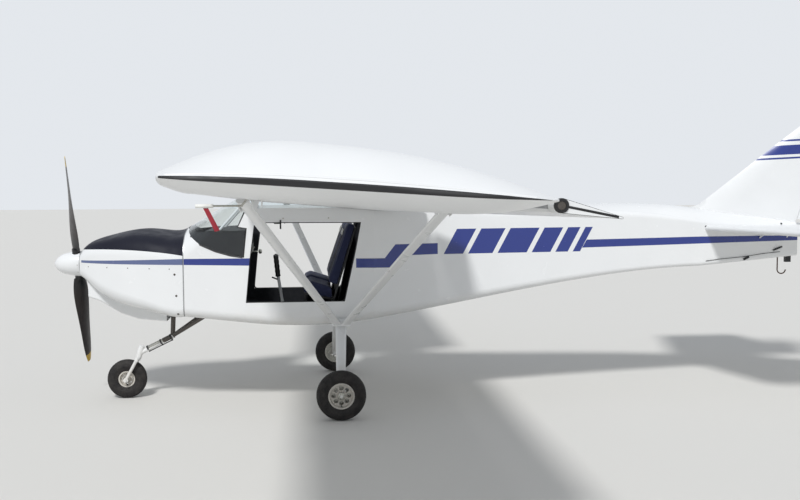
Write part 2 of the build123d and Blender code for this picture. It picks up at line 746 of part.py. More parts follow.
# Wing section heights above and below the chord line, for the full chord
NOSE_SHARE = 0.02             # share of the chord behind the leading edge
NOSE_UP, NOSE_DOWN = 34, -24
LIP_SHARE, LIP_DOWN = 0.04, -33.5
CHIN_SHARE, CHIN_DOWN = 0.064, -40
FRONT_SHARE, FRONT_UP = 0.215, 131
CREST_SHARE, CREST_UP = 0.396, 145
REAR_SHARE, REAR_UP = 0.713, 105
KEEL_SHARE, KEEL_DOWN = 0.698, -60
AFT_SHARE, AFT_DOWN = 0.864, -48
TRAIL_EDGE = 4


def wing_section(offset, side, lead, trail, lead_height, trail_height, upper=1.0, lower=1.0):
    """Wing's outline at a distance from the centre line, its heights taken in shares"""

    def place(share, height):
        factor = upper if height > 0 else lower
        station = lead + share * (trail - lead)
        return at(station), lead_height + share * (trail_height - lead_height) + factor * height

    with BuildSketch(Plane.XZ.offset(-side * offset)) as section:
        with BuildLine():
            nose_top = place(NOSE_SHARE * upper, NOSE_UP)
            nose_foot = place(NOSE_SHARE * lower, NOSE_DOWN)
            ThreePointArc(nose_foot, place(0, 0), nose_top)
            ThreePointArc(nose_top, place(FRONT_SHARE, FRONT_UP), place(CREST_SHARE, CREST_UP))
            ThreePointArc(place(CREST_SHARE, CREST_UP), place(REAR_SHARE, REAR_UP), place(1, TRAIL_EDGE))
            Line(place(1, TRAIL_EDGE), place(1, -TRAIL_EDGE))
            ThreePointArc(
                place(1, -TRAIL_EDGE), place(AFT_SHARE, AFT_DOWN), place(KEEL_SHARE, KEEL_DOWN)
            )
            Line(place(KEEL_SHARE, KEEL_DOWN), place(CHIN_SHARE, CHIN_DOWN))
            ThreePointArc(place(CHIN_SHARE, CHIN_DOWN), place(LIP_SHARE, LIP_DOWN), nose_foot)
        make_face()
    return section.sketch


def dihedral(offset):
    """Height gained from the tip joint to a distance from the centre line"""
    return (offset - WING_TIP_JOINT) * tan(radians(WING_DIHEDRAL))


WING_TRAIL = WING_LEAD + WING_CHORD
# Tip sections: distance out, leading station, trailing station, share of the heights
TIP_SECTIONS = (
    (WING_TIP_JOINT, WING_LEAD, WING_TRAIL, 1.0),
    (4500, WING_LEAD + 12, WING_TRAIL - 25, 0.72),
    (WING_TIP, 1512, 2725, 0.08),
)
wings = {}
for name, side in SIDES:
    with BuildPart() as wing:
        drop = dihedral(WING_ROOT)
        loft(
            [wing_section(WING_ROOT, side, WING_LEAD, WING_TRAIL,
                          WING_LEAD_HEIGHT + drop, WING_TRAIL_HEIGHT + drop),
             wing_section(WING_TIP_JOINT, side, WING_LEAD, WING_TRAIL,
                          WING_LEAD_HEIGHT, WING_TRAIL_HEIGHT)],
            ruled=True,
        )
    wings[name] = wing.part
    write(wing, f"wing_{name}")

    with BuildPart() as wing_tip:
        loft(
            [wing_section(offset, side, lead, trail,
                          WING_LEAD_HEIGHT + dihedral(offset), WING_TRAIL_HEIGHT + dihedral(offset),
                          share, share)
             for offset, lead, trail, share in TIP_SECTIONS],
        )
    write(wing_tip, f"wing_tip_{name}")

# Flaperons on hangers below the trailing edge
HANGERS = (760, 1900, 3040, 4180)
# Hanger plate's outline: distance aft of the hinge and below it
HANGER_OUTLINE = ((0, 12), (-36, 10), (-215, 0), (-215, -50), (-60, -24), (0, -12))


def flaperon_centre(offset, side):
    """Point of the flaperon's hinge line"""
    return Vector(at(FLAPERON_STATION), side * offset, FLAPERON_HEIGHT + dihedral(offset))


def flaperon_axis(side):
    """Direction of the flaperon's hinge line"""
    return Vector(0, cos(radians(WING_DIHEDRAL)), side * sin(radians(WING_DIHEDRAL)))


def flaperon_section(offset, side):
    """Flaperon's outline: round nose on the hinge line, flat sides to a thin edge"""
    centre = flaperon_centre(offset, side)
    trail_x = at(FLAPERON_TRAIL_STATION)
    trail_z = FLAPERON_TRAIL_HEIGHT + dihedral(offset)
    lean = atan2(trail_z - centre.Z, trail_x - centre.X)
    r = FLAPERON_NOSE_RADIUS
    up = (-sin(lean) * r, cos(lean) * r)
    with BuildSketch(Plane.XZ.offset(-side * offset)) as section:
        with BuildLine():
            top = (centre.X + up[0], centre.Z + up[1])
            low = (centre.X - up[0], centre.Z - up[1])
            ThreePointArc(top, (centre.X - r * cos(lean), centre.Z - r * sin(lean)), low)
            Polyline(top, (trail_x, trail_z + THIN_EDGE), (trail_x, trail_z - THIN_EDGE), low)
        make_face()
    return section.sketch


for name, side in SIDES:
    with BuildPart() as flaperon:
        loft([flaperon_section(FLAPERON_ROOT, side), flaperon_section(FLAPERON_TIP, side)], ruled=True)
        for offset in HANGERS:
            centre = flaperon_centre(offset, side)
            axis = flaperon_axis(side)
            add(hinge_cut(centre, axis, AFT, slot_width), mode=Mode.SUBTRACT)
            add(hinge_pin(centre, axis, AFT, slot_width + HINGE_PIN_HOLD))
    write(flaperon, f"flaperon_{name}")

with BuildPart() as flaperon_hangers:
    for name, side in SIDES:
        for offset in HANGERS:
            plane = Plane(
                origin=flaperon_centre(offset, side), x_dir=AFT, z_dir=flaperon_axis(side)
            )
            with BuildSketch(plane.offset(-HINGE_PLATE / 2)):
                Circle(HINGE_EYE_RADIUS)
                with BuildLine():
                    Polyline(*HANGER_OUTLINE, close=True)
                make_face()
                Circle(HINGE_PIN_RADIUS + HINGE_PLAY, mode=Mode.SUBTRACT)
            extrude(amount=HINGE_PLATE)
    add(list(wings.values()), mode=Mode.SUBTRACT)
write(flaperon_hangers, "flaperon_hangers")

# Wing struts from a block on the body's lower corner to the front and rear spars:
# station of the foot, then station and height of the head
STRUT_CHORD = 66
STRUT_THICKNESS = 28
STRUT_BLOCK_OUT = 540         # outer face of the foot block
STRUT_FOOT_HEIGHT = 630
STRUT_HEAD_OFFSET = 2800
STRUTS = ((2142, 1648, 1550), (2212, 2640, 1522))
FITTING_PLATE = 5
TIE_DOWN_BORE = 6.5
TIE_DOWN_STATION = 1725
FOOT_BLOCK = (140, 52, 12)    # length, height and corner radius
FOOT_BLOCK_LIFT = 4
STRUT_OVERLAP = (40, 60)      # how far a strut runs past its foot and head before it is cut
# Head plate's outline: distance along the strut and across it
HEAD_PLATE = ((-110, -70), (-62, 17), (-20, 19), (70, -50), (70, -120))
# Tie-down plate: half widths at its foot and top, drop and rise from the strut's head
TIE_DOWN_PLATE = (16, 26, 10, 60)
TIE_DOWN_RISE = 2


def strut_ends(row, side):
    """Foot, on the foot block's outer face, and head of one strut"""
    foot_station, head_station, height = row
    foot = Vector(at(foot_station), side * STRUT_BLOCK_OUT, STRUT_FOOT_HEIGHT)
    return foot, Vector(at(head_station), side * STRUT_HEAD_OFFSET, height)


for name, side in SIDES:
    struts = []
    for row in STRUTS:
        foot, head = strut_ends(row, side)
        along = (head - foot).normalized()
        start = foot - along * STRUT_OVERLAP[0]
        across = Vector(0, 0, 1).cross(along).normalized()
        with BuildPart() as strut:
            with BuildSketch(Plane(origin=start, x_dir=across, z_dir=along)):
                Ellipse(STRUT_CHORD / 2, STRUT_THICKNESS / 2)
            extrude(amount=(head - start).length + STRUT_OVERLAP[1])
            with Locations((0, 0, 0)):
                Box(FAR, 2 * STRUT_BLOCK_OUT, 2 * head.Z, mode=Mode.SUBTRACT)
            add(wings[name], mode=Mode.SUBTRACT)
        struts.append(strut.part.solids().sort_by(Axis.Z)[0])
    with BuildPart() as wing_struts:
        add(struts)
    write(wing_struts, f"wing_struts_{name}")

with BuildPart() as strut_fittings:
    for name, side in SIDES:
        with BuildSketch(Plane.XZ.offset(-side * STRUT_BLOCK_OUT)):
            middle = (STRUTS[0][0] + STRUTS[1][0]) / 2
            with Locations((at(middle), STRUT_FOOT_HEIGHT + FOOT_BLOCK_LIFT)):
                RectangleRounded(*FOOT_BLOCK)
        extrude(amount=side * (STRUT_BLOCK_OUT - CABIN_HALF_WIDTH + STRUT_OVERLAP[0]))
        for row in STRUTS:
            foot, head = strut_ends(row, side)
            along = (head - foot).normalized()
            across = Vector(0, 0, 1).cross(along).normalized()
            for shift in (-1, 1):
                inner = shift * STRUT_CHORD / 2 - (FITTING_PLATE if shift < 0 else 0)
                with BuildSketch(Plane(origin=head + across * inner, x_dir=along, z_dir=across)):
                    with BuildLine():
                        Polyline(*HEAD_PLATE, close=True)
                    make_face()
                extrude(amount=FITTING_PLATE)
        head = strut_ends(STRUTS[0], side)[1]
        narrow, broad, drop, rise = TIE_DOWN_PLATE
        with BuildSketch(Plane.YZ.offset(at(TIE_DOWN_STATION))):
            with BuildLine():
                Polyline(
                    (head.Y - broad, head.Z + rise), (head.Y - narrow, head.Z - drop),
                    (head.Y + narrow, head.Z - drop), (head.Y + broad, head.Z + rise), close=True,
                )
            make_face()
            with Locations((head.Y, head.Z + TIE_DOWN_RISE)):
                Circle(TIE_DOWN_BORE, mode=Mode.SUBTRACT)
        extrude(amount=HINGE_PLATE)
    add(list(wings.values()), mode=Mode.SUBTRACT)
    add(cabin_outer, mode=Mode.SUBTRACT)
write(strut_fittings, "strut_fittings")

# Main undercarriage legs and axles: station, distance out, height, chord and thickness
LEG_TOP = (2176, 440, 660, 84, 34)
LEG_FOOT = (2161, 822, 182, 62, 26)
AXLE_BLOCK = (50, 22, 50)
AXLE_REACH = 50               # how far the axle runs past the wheel's middle


def ellipse_section(origin, x_dir, z_dir, chord, thickness):
    """Streamlined outline across a leg"""
    with BuildSketch(Plane(origin=origin, x_dir=x_dir, z_dir=z_dir)) as section:
        Ellipse(chord / 2, thickness / 2)
    return section.sketch


for name, side in SIDES:
    with BuildPart() as leg:
        top = Vector(at(LEG_TOP[0]), side * LEG_TOP[1], LEG_TOP[2])
        foot = Vector(at(LEG_FOOT[0]), side * LEG_FOOT[1], LEG_FOOT[2])
        along = (foot - top).normalized()
        loft(
            [ellipse_section(top, (1, 0, 0), along, *LEG_TOP[3:]),
             ellipse_section(foot, (1, 0, 0), along, *LEG_FOOT[3:])],
            ruled=True,
        )
        with Locations(foot):
            Box(*AXLE_BLOCK)
        with BuildSketch(Plane.XZ.offset(-side * (LEG_FOOT[1] - 10))):
            with Locations((at(MAIN_WHEEL_STATION), MAIN_TYRE_RADIUS)):
                Circle(AXLE_RADIUS)
        extrude(amount=-side * (MAIN_TRACK / 2 + AXLE_REACH - LEG_FOOT[1] + 10))
        add(cabin_outer, mode=Mode.SUBTRACT)
        add(strut_fittings.part, mode=Mode.SUBTRACT)
    write(leg, f"main_leg_{name}")


BEAD_SHARE = 0.72             # shares of a tyre's half width and of its sidewall's height
TREAD_SHARE = 0.62
BELLY_SHARE = 0.45
TREAD_CROWN = 5
RIM_SHARE = 0.36
RIM_WALL = 10
DISC_HALF = 10                # half thickness of the wheel's pierced disc
DISC_RIM = 16                 # depth of the rim's root below the tyre seat
BOSS_RADIUS = 26
BOSS_ROOT = 30
HUB_HOLES = 8
HUB_HOLE_SHARE = 0.36


def tyre(centre, radius, width, rim):
    """Plain tyre, a closed ring with rounded shoulders"""
    x, y, z = centre
    half = width / 2
    tread = half * TREAD_SHARE
    shoulder = z + radius - TREAD_CROWN
    with BuildPart() as ring:
        with BuildSketch(Plane.YZ.offset(x)):
            with BuildLine():
                bead = half * BEAD_SHARE
                inner, outer = (y - bead, z + rim), (y + bead, z + rim)
                belly = z + rim + (radius - rim) * BELLY_SHARE
                Line(inner, outer)
                ThreePointArc(outer, (y + half, belly), (y + tread, shoulder))
                ThreePointArc((y + tread, shoulder), (y, z + radius), (y - tread, shoulder))
                ThreePointArc((y - tread, shoulder), (y - half, belly), inner)
            make_face()
        revolve(axis=Axis((x, y, z), (0, 1, 0)))
    return ring


def wheel_hub(centre, rim, width, bore):
    """Cast wheel: rim barrel, pierced disc and bearing boss"""
    x, y, z = centre
    half = width * RIM_SHARE
    root = rim - DISC_RIM
    with BuildPart() as hub:
        with BuildSketch(Plane.YZ.offset(x)):
            with BuildLine():
                right = (
                    (half, rim), (half, rim - RIM_WALL), (DISC_HALF, root),
                    (DISC_HALF, BOSS_ROOT), (half, BOSS_RADIUS), (half, bore),
                )
                left = [(-across, radius) for across, radius in reversed(right)]
                Polyline(*[(y + across, z + radius) for across, radius in (*right, *left)], close=True)
            make_face()
        revolve(axis=Axis((x, y, z), (0, 1, 0)))
        with BuildSketch(Plane(origin=(x, y - 2 * DISC_HALF, z), x_dir=AFT, z_dir=ACROSS)):
            with PolarLocations((root + BOSS_ROOT) / 2, HUB_HOLES):
                Circle((root - BOSS_ROOT) * HUB_HOLE_SHARE)
        extrude(amount=4 * DISC_HALF, mode=Mode.SUBTRACT)
    return hub


for name, side in SIDES:
    centre = (at(MAIN_WHEEL_STATION), side * MAIN_TRACK / 2, MAIN_TYRE_RADIUS)
    write(tyre(centre, MAIN_TYRE_RADIUS, MAIN_TYRE_WIDTH, MAIN_RIM_RADIUS), f"main_tyre_{name}")
    hub = wheel_hub(centre, MAIN_RIM_RADIUS, MAIN_TYRE_WIDTH, AXLE_RADIUS + BEARING_PLAY)
    write(hub, f"main_hub_{name}")

# Nose leg: two tubes from the lower body meet in one long tube that ends in the
# steering head, and an upright tube ties them to the firewall
NOSE_TUBE_RADIUS = 17
NOSE_APEX = (880, 0, 478)
NOSE_MOUNT = (1185, 290, 680)
HEAD_CENTRE = (628, 0, 357)
HEAD_LENGTH = 78
HEAD_RADIUS = 23
STEM_RADIUS = 13
TIE_TOP = (893, 0, 740)
MOUNT_TUBE = 14
APEX_RADIUS = 20
TUBE_INSET = 12               # how far the long tube stops below the head's middle
BORE_REACH = 60
steer_axis = Vector(sin(radians(STEER_RAKE)), 0, cos(radians(STEER_RAKE)))
head_centre = Vector(at(HEAD_CENTRE[0]), 0, HEAD_CENTRE[2])


with BuildPart() as nose_leg:
    apex = Vector(at(NOSE_APEX[0]), 0, NOSE_APEX[2])
    for side in (PORT, STARBOARD):
        mount = Vector(at(NOSE_MOUNT[0]), side * NOSE_MOUNT[1], NOSE_MOUNT[2])
        add(tube(mount, apex, MOUNT_TUBE))
    add(tube(apex, head_centre - steer_axis * TUBE_INSET, NOSE_TUBE_RADIUS))
    with Locations(apex):
        Sphere(APEX_RADIUS)
    add(tube(Vector(at(TIE_TOP[0]), 0, TIE_TOP[2]), apex, NOSE_TUBE_RADIUS))
    half_head = steer_axis * HEAD_LENGTH / 2
    bore = steer_axis * BORE_REACH
    add(tube(head_centre - half_head, head_centre + half_head, HEAD_RADIUS))
    add(
        tube(head_centre - bore, head_centre + bore, STEM_RADIUS + BEARING_PLAY),
        mode=Mode.SUBTRACT,
    )
    add(floor_panel.part, mode=Mode.SUBTRACT)
    add(cowl_outer, mode=Mode.SUBTRACT)
    add(firewall.part, mode=Mode.SUBTRACT)
nose_leg.part = Compound(children=[nose_leg.part.solids().sort_by(Axis.Z)[0]])
write(nose_leg, "nose_leg")

FORK_LEG_RADIUS = 12
FORK_HALF_WIDTH = 68
CROWN_GAP = 0.3
TOW_PIN_RADIUS = 8            # the axle's ends stand out to take a tow bar
TOW_PIN_REACH = 105
CROWN_HEIGHT = 28
CROWN_MARGIN = 3              # metal round each fork leg in the crown
CAP_RADIUS = 20
CAP_HEIGHT = 12
AXLE_HALF = 80
DROPOUT_RADIUS = 18
DROPOUT_SHARES = (0.8, 1.25)  # ends of a dropout boss, in shares of the fork's half width
crown = head_centre - steer_axis * ((HEAD_LENGTH + CROWN_HEIGHT) / 2 + CROWN_GAP)
cap_foot = head_centre + steer_axis * (HEAD_LENGTH / 2 + CROWN_GAP)
cap_top = head_centre + steer_axis * (HEAD_LENGTH / 2 + CAP_HEIGHT)
nose_axle = Vector(at(NOSE_WHEEL_STATION), 0, NOSE_TYRE_RADIUS)
with BuildPart() as nose_fork:
    add(tube(crown, cap_top, STEM_RADIUS))
    add(tube(cap_foot, cap_top, CAP_RADIUS))
    crown_foot = crown - steer_axis * CROWN_HEIGHT / 2
    with BuildSketch(Plane(origin=crown_foot, x_dir=ACROSS, z_dir=steer_axis)):
        crown_width = 2 * (FORK_LEG_RADIUS + CROWN_MARGIN)
        SlotOverall(2 * FORK_HALF_WIDTH + crown_width, crown_width)
    extrude(amount=CROWN_HEIGHT)
    for side in (PORT, STARBOARD):
        shift = ACROSS * side * FORK_HALF_WIDTH
        add(tube(crown + shift, nose_axle + shift, FORK_LEG_RADIUS))
        boss_start, boss_end = [nose_axle + shift * share for share in DROPOUT_SHARES]
        add(tube(boss_start, boss_end, DROPOUT_RADIUS))
    for reach, radius in ((AXLE_HALF, AXLE_RADIUS), (TOW_PIN_REACH, TOW_PIN_RADIUS)):
        add(tube(nose_axle - ACROSS * reach, nose_axle + ACROSS * reach, radius))
write(nose_fork, "nose_fork")

nose_centre = (at(NOSE_WHEEL_STATION), 0, NOSE_TYRE_RADIUS)
write(tyre(nose_centre, NOSE_TYRE_RADIUS, NOSE_TYRE_WIDTH, NOSE_RIM_RADIUS), "nose_tyre")
nose_bore = AXLE_RADIUS + BEARING_PLAY
write(wheel_hub(nose_centre, NOSE_RIM_RADIUS, NOSE_TYRE_WIDTH, nose_bore), "nose_hub")

# Cabin fittings: instrument panel with its dark cover, seats and the control stick
PANEL_STATION = 1485
COVER_HEIGHT = 1312
PANEL_HALF_WIDTH = 420
COVER_ROUND = 8
# Outline of the panel and its cover: station and depth below the cover's top
PANEL_OUTLINE = (
    (1150, 130),
    (1150, 20),
    (1190, 0),
    (PANEL_STATION + 40, 0),
    (PANEL_STATION, 22),
    (PANEL_STATION, 210),
    (PANEL_STATION - 120, 220),
)
with BuildPart() as instrument_panel:
    with BuildSketch(Plane.XZ):
        with BuildLine():
            outline = [(at(station), COVER_HEIGHT - depth) for station, depth in PANEL_OUTLINE]
            Polyline(*outline, close=True)
        make_face()
    extrude(amount=PANEL_HALF_WIDTH, both=True)
    fillet(instrument_panel.edges().filter_by(Axis.Y).group_by(Axis.Z)[-1], COVER_ROUND)
write(instrument_panel, "instrument_panel")

SEAT_MIDDLE = 245             # middle of each seat from the centre line
SEAT_WIDTH = 430
SEAT_GAP = 0.5                # between each cushion and what carries it
PAN_FRONT = (1905, 850)
PAN_REAR = (2120, 800)
BACK_TOP = (2285, 1330)
SEAT_FOOT = 600               # height below the floor where the seat's legs start
PAN_WALL = 12
PAN_HALF_WIDTH = 180
CUSHION_THICKNESS = 92
BACKREST_THICKNESS = 70
with BuildPart() as seat_frame:
    for side in (PORT, STARBOARD):
        with BuildSketch(Plane.XZ.offset(-side * SEAT_MIDDLE)):
            with BuildLine():
                front_in, rear_out = PAN_FRONT[0] + PAN_WALL, PAN_REAR[0] + PAN_WALL
                outline = (
                    (PAN_FRONT[0], SEAT_FOOT),
                    PAN_FRONT,
                    PAN_REAR,
                    BACK_TOP,
                    (BACK_TOP[0] + PAN_WALL, BACK_TOP[1] - 4),
                    (rear_out, PAN_REAR[1] - 5),
                    (rear_out, SEAT_FOOT),
                    (PAN_REAR[0], SEAT_FOOT),
                    (PAN_REAR[0], PAN_REAR[1] - PAN_WALL),
                    (front_in, PAN_FRONT[1] - PAN_WALL - 2),
                    (front_in, SEAT_FOOT),
                )
                Polyline(*[(at(station), height) for station, height in outline], close=True)
            make_face()
        extrude(amount=PAN_HALF_WIDTH, both=True)
    add(floor_panel.part, mode=Mode.SUBTRACT)
    with Locations((0, 0, SEAT_FOOT / 2)):
        Box(FAR, FAR, SEAT_FOOT + 2 * FLOOR_WALL, mode=Mode.SUBTRACT)
write(seat_frame, "seat_frame")


def pan_height(station):
    """Height of the seat pan's upper face"""
    slope = (PAN_REAR[1] - PAN_FRONT[1]) / (PAN_REAR[0] - PAN_FRONT[0])
    return PAN_FRONT[1] + slope * (station - PAN_FRONT[0])


def back_station(height):
    """Station of the seat back's front face"""
    slope = (BACK_TOP[0] - PAN_REAR[0]) / (BACK_TOP[1] - PAN_REAR[1])
    return PAN_REAR[0] + slope * (height - PAN_REAR[1])


CUSHION_FRONT = PAN_FRONT[0] - 10
CUSHION_REAR = PAN_REAR[0] - 2
CUSHION_SLANT = (40, 22)      # length and drop of the slant at the cushion's front
CUSHION_FALL = 16             # drop of the cushion's top towards its rear
BACKREST_TOP = 1372
BACKREST_LIFT = 20            # rise of the backrest's foot towards its front
BACKREST_SLANT = (10, 12, 42)
for name, side in SIDES:
    with BuildPart() as cushion:
        with BuildSketch(Plane.XZ.offset(-side * SEAT_MIDDLE)):
            with BuildLine():
                low_front = pan_height(CUSHION_FRONT) + SEAT_GAP
                low_rear = pan_height(CUSHION_REAR) + SEAT_GAP
                crest = CUSHION_FRONT + CUSHION_SLANT[0]
                Polyline(
                    (at(CUSHION_FRONT), low_front),
                    (at(CUSHION_FRONT), low_front + CUSHION_THICKNESS - CUSHION_SLANT[1]),
                    (at(crest), pan_height(crest) + CUSHION_THICKNESS),
                    (at(CUSHION_REAR), low_rear + CUSHION_THICKNESS - CUSHION_FALL),
                    (at(CUSHION_REAR), low_rear), close=True,
                )
            make_face()
        extrude(amount=SEAT_WIDTH / 2, both=True)
    write(cushion, f"seat_cushion_{name}")

    with BuildPart() as backrest:
        with BuildSketch(Plane.XZ.offset(-side * SEAT_MIDDLE)):
            with BuildLine():
                foot = pan_height(CUSHION_REAR) + CUSHION_THICKNESS + SEAT_GAP
                inset, dip, reach = BACKREST_SLANT
                crest = back_station(BACKREST_TOP)
                Polyline(
                    (at(back_station(foot) - BACKREST_THICKNESS), foot + BACKREST_LIFT),
                    (at(back_station(foot) - SEAT_GAP), foot),
                    (at(back_station(BACKREST_TOP - reach) - SEAT_GAP), BACKREST_TOP - reach),
                    (at(crest - SEAT_GAP - inset), BACKREST_TOP - dip),
                    (at(crest - BACKREST_THICKNESS + inset), BACKREST_TOP),
                    close=True,
                )
            make_face()
        extrude(amount=SEAT_WIDTH / 2, both=True)
    write(backrest, f"seat_back_{name}")

# Control stick: its tube up to the grip, then the thicker grip
STICK_FOOT, STICK_MIDDLE, STICK_TOP = (1752, 600), (1700, 935), (1684, 1100)
STICK_RADIUS = 12
GRIP_RADIUS = 17
with BuildPart() as control_stick:
    foot, middle, top = [
        Vector(at(station), 0, height) for station, height in (STICK_FOOT, STICK_MIDDLE, STICK_TOP)
    ]
    add(tube(foot, middle, STICK_RADIUS))
    add(tube(middle, top, GRIP_RADIUS))
    add(floor_panel.part, mode=Mode.SUBTRACT)
control_stick.part = largest(control_stick)
write(control_stick, "control_stick")

# Frame tubes seen through the glazing: the dark hoop, which follows the rear edge of the
# doors, with its top rails, and two white braces from the panel cover up to the front
# cross tube
FRAME_RADIUS = 12
FRAME_OUT = 468
FRAME_FRONT = (1500, 1545)
FRAME_REAR = (2365, 1495)
HOOP_KNEE_HEIGHT = 790
HOOP_SLOPE = 0.219            # stations gained for each millimetre of height
HOOP_FOOT_HEIGHT = 600
HOOP_FOOT_OUT = 400
FRAME_JOINT_RADIUS = 14
with BuildPart() as cabin_frame:
    for station, height in (FRAME_FRONT, FRAME_REAR):
        ends = [Vector(at(station), side * FRAME_OUT, height) for side in (PORT, STARBOARD)]
        add(tube(*ends, FRAME_RADIUS))
    for side in (PORT, STARBOARD):
        front = Vector(at(FRAME_FRONT[0]), side * FRAME_OUT, FRAME_FRONT[1])
        rear = Vector(at(FRAME_REAR[0]), side * FRAME_OUT, FRAME_REAR[1])
        knee_station = FRAME_REAR[0] - HOOP_SLOPE * (FRAME_REAR[1] - HOOP_KNEE_HEIGHT)
        foot_station = FRAME_REAR[0] - HOOP_SLOPE * (FRAME_REAR[1] - HOOP_FOOT_HEIGHT)
        knee = Vector(at(knee_station), side * FRAME_OUT, HOOP_KNEE_HEIGHT)
        foot = Vector(at(foot_station), side * HOOP_FOOT_OUT, HOOP_FOOT_HEIGHT)
        with Locations(front, rear, knee):
            Sphere(FRAME_JOINT_RADIUS)
        add(tube(front, rear, FRAME_RADIUS))
        add(tube(rear, knee, FRAME_RADIUS))
        add(tube(knee, foot, FRAME_RADIUS))
    add(floor_panel.part, mode=Mode.SUBTRACT)
cabin_frame.part = largest(cabin_frame)
write(cabin_frame, "cabin_frame")

BRACE_FOOT = (1222, 232, 1250)
BRACE_HEAD = (1484, 175, 1545)
BRACE_RADIUS = 10
with BuildPart() as screen_braces:
    for side in (PORT, STARBOARD):
        foot = Vector(at(BRACE_FOOT[0]), side * BRACE_FOOT[1], BRACE_FOOT[2])
        head = Vector(at(BRACE_HEAD[0]), side * BRACE_HEAD[1], BRACE_HEAD[2])
        add(tube(foot, head, BRACE_RADIUS))
    add(instrument_panel.part, mode=Mode.SUBTRACT)
    add(cabin_frame.part, mode=Mode.SUBTRACT)
write(screen_braces, "screen_braces")

# Slim braces from the tailplane down to the rear body: station and distance out at the
# tailplane, station and height at the body, radius
TAIL_BRACES = ((5535, 334, 5572, 1170, 7), (5830, 160, 5778, 1139, 5))
BRACE_END_OUT = 20
with BuildPart() as tail_braces:
    for side in (PORT, STARBOARD):
        for top_station, out, foot_station, height, radius in TAIL_BRACES:
            top = Vector(at(top_station), side * out, TAIL_PLANE_HEIGHT)
            foot = Vector(at(foot_station), side * BRACE_END_OUT, height)
            add(tube(top, foot, radius))
    for name, plane in tailplanes.items():
        add(plane, mode=Mode.SUBTRACT)
    add(rear_fuselage.part, mode=Mode.SUBTRACT)
write(tail_braces, "tail_braces")

# Tow release and hook under the tail
RELEASE_CENTRE = (5850, 1030)
RELEASE_SIZE = (46, 30, 70)
with BuildPart() as tow_release:
    with Locations((at(RELEASE_CENTRE[0]), 0, RELEASE_CENTRE[1])):
        Box(*RELEASE_SIZE)
    add(rear_fuselage.part, mode=Mode.SUBTRACT)
write(tow_release, "tow_release")

HOOK_RADIUS = 5
HOOK_TOP, HOOK_BEND = (5766, 1060), (5766, 940)
HOOK_LOWEST, HOOK_TIP = (5798, 900), (5836, 932)
with BuildPart() as tow_hook:
    with BuildLine() as hook_line:
        top, bend, lowest, tip = [
            (at(station), 0, height)
            for station, height in (HOOK_TOP, HOOK_BEND, HOOK_LOWEST, HOOK_TIP)
        ]
        shank = Line(top, bend)
        ThreePointArc(bend, lowest, tip)
    with BuildSketch(Plane(origin=shank @ 0, z_dir=shank % 0)):
        Circle(HOOK_RADIUS)
    sweep()
    add(rear_fuselage.part, mode=Mode.SUBTRACT)
tow_hook.part = largest(tow_hook)
write(tow_hook, "tow_hook")

# Airspeed probe under the port wing, with its cover and warning streamer
PROBE_OFFSET = 2880
PROBE_HEIGHT = 1548
PROBE_RADIUS = 5
PROBE_TIP, PROBE_BEND, PROBE_TOP = (1470, PROBE_HEIGHT), (1636, PROBE_HEIGHT), (1660, 1580)
COVER_FRONT = 1416
COVER_REAR = 1500
COVER_RADIUS = 10
STREAMER_HALF_THICKNESS = 0.75
# Streamer outline seen from the side: station and height
STREAMER_OUTLINE = ((1452, 1537.7), (1476, 1537.7), (1530, 1430), (1506, 1424))


def probe_point(station, height):
    """Point in the probe's upright plane"""
    return Vector(at(station), -PROBE_OFFSET, height)


with BuildPart() as airspeed_probe:
    add(tube(probe_point(*PROBE_TIP), probe_point(*PROBE_BEND), PROBE_RADIUS))
    with Locations(probe_point(*PROBE_BEND)):
        Sphere(PROBE_RADIUS)
    add(tube(probe_point(*PROBE_BEND), probe_point(*PROBE_TOP), PROBE_RADIUS))
    add(wings["left"], mode=Mode.SUBTRACT)
write(airspeed_probe, "airspeed_probe")

with BuildPart() as probe_cover:
    cover_front = probe_point(COVER_FRONT, PROBE_HEIGHT)
    cover_rear = probe_point(COVER_REAR, PROBE_HEIGHT)
    add(tube(cover_front, cover_rear, COVER_RADIUS))
    add(airspeed_probe.part, mode=Mode.SUBTRACT)
write(probe_cover, "probe_cover")

with BuildPart() as warning_streamer:
    with BuildSketch(Plane.XZ.offset(PROBE_OFFSET)):
        with BuildLine():
            outline = [(at(station), height) for station, height in STREAMER_OUTLINE]
            Polyline(*outline, close=True)
        make_face()
    extrude(amount=STREAMER_HALF_THICKNESS, both=True)
write(warning_streamer, "warning_streamer")
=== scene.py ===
"""Looks of a two-seat strut-braced microlight aircraft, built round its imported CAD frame.

The row frame has +X aft, +Y to starboard and +Z up, with the ground at Z = 0. A station is a
distance in millimetres aft of the spinner's tip, as on a drawing.
"""

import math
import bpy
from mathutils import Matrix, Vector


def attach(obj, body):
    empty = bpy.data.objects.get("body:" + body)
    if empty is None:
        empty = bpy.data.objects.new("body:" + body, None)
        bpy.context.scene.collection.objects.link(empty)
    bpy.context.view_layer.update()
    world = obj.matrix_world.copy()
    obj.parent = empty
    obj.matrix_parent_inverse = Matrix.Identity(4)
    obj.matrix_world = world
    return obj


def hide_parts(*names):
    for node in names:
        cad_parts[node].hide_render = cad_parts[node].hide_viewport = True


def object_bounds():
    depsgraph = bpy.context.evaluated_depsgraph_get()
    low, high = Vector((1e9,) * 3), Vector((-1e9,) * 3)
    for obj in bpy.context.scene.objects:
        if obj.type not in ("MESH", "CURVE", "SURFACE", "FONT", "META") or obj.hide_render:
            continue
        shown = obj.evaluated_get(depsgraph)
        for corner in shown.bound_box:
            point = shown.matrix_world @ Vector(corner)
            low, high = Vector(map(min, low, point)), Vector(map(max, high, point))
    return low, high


bl_info = {
    "name": "Microlight aircraft looks",
    "version": (1, 0, 0),
    "blender": (4, 5, 0),
    "location": "View3D > Sidebar > Microlight",
    "description": "Detailed pieces, finishes and stage for a strut-braced microlight aircraft",
    "category": "Object",
}

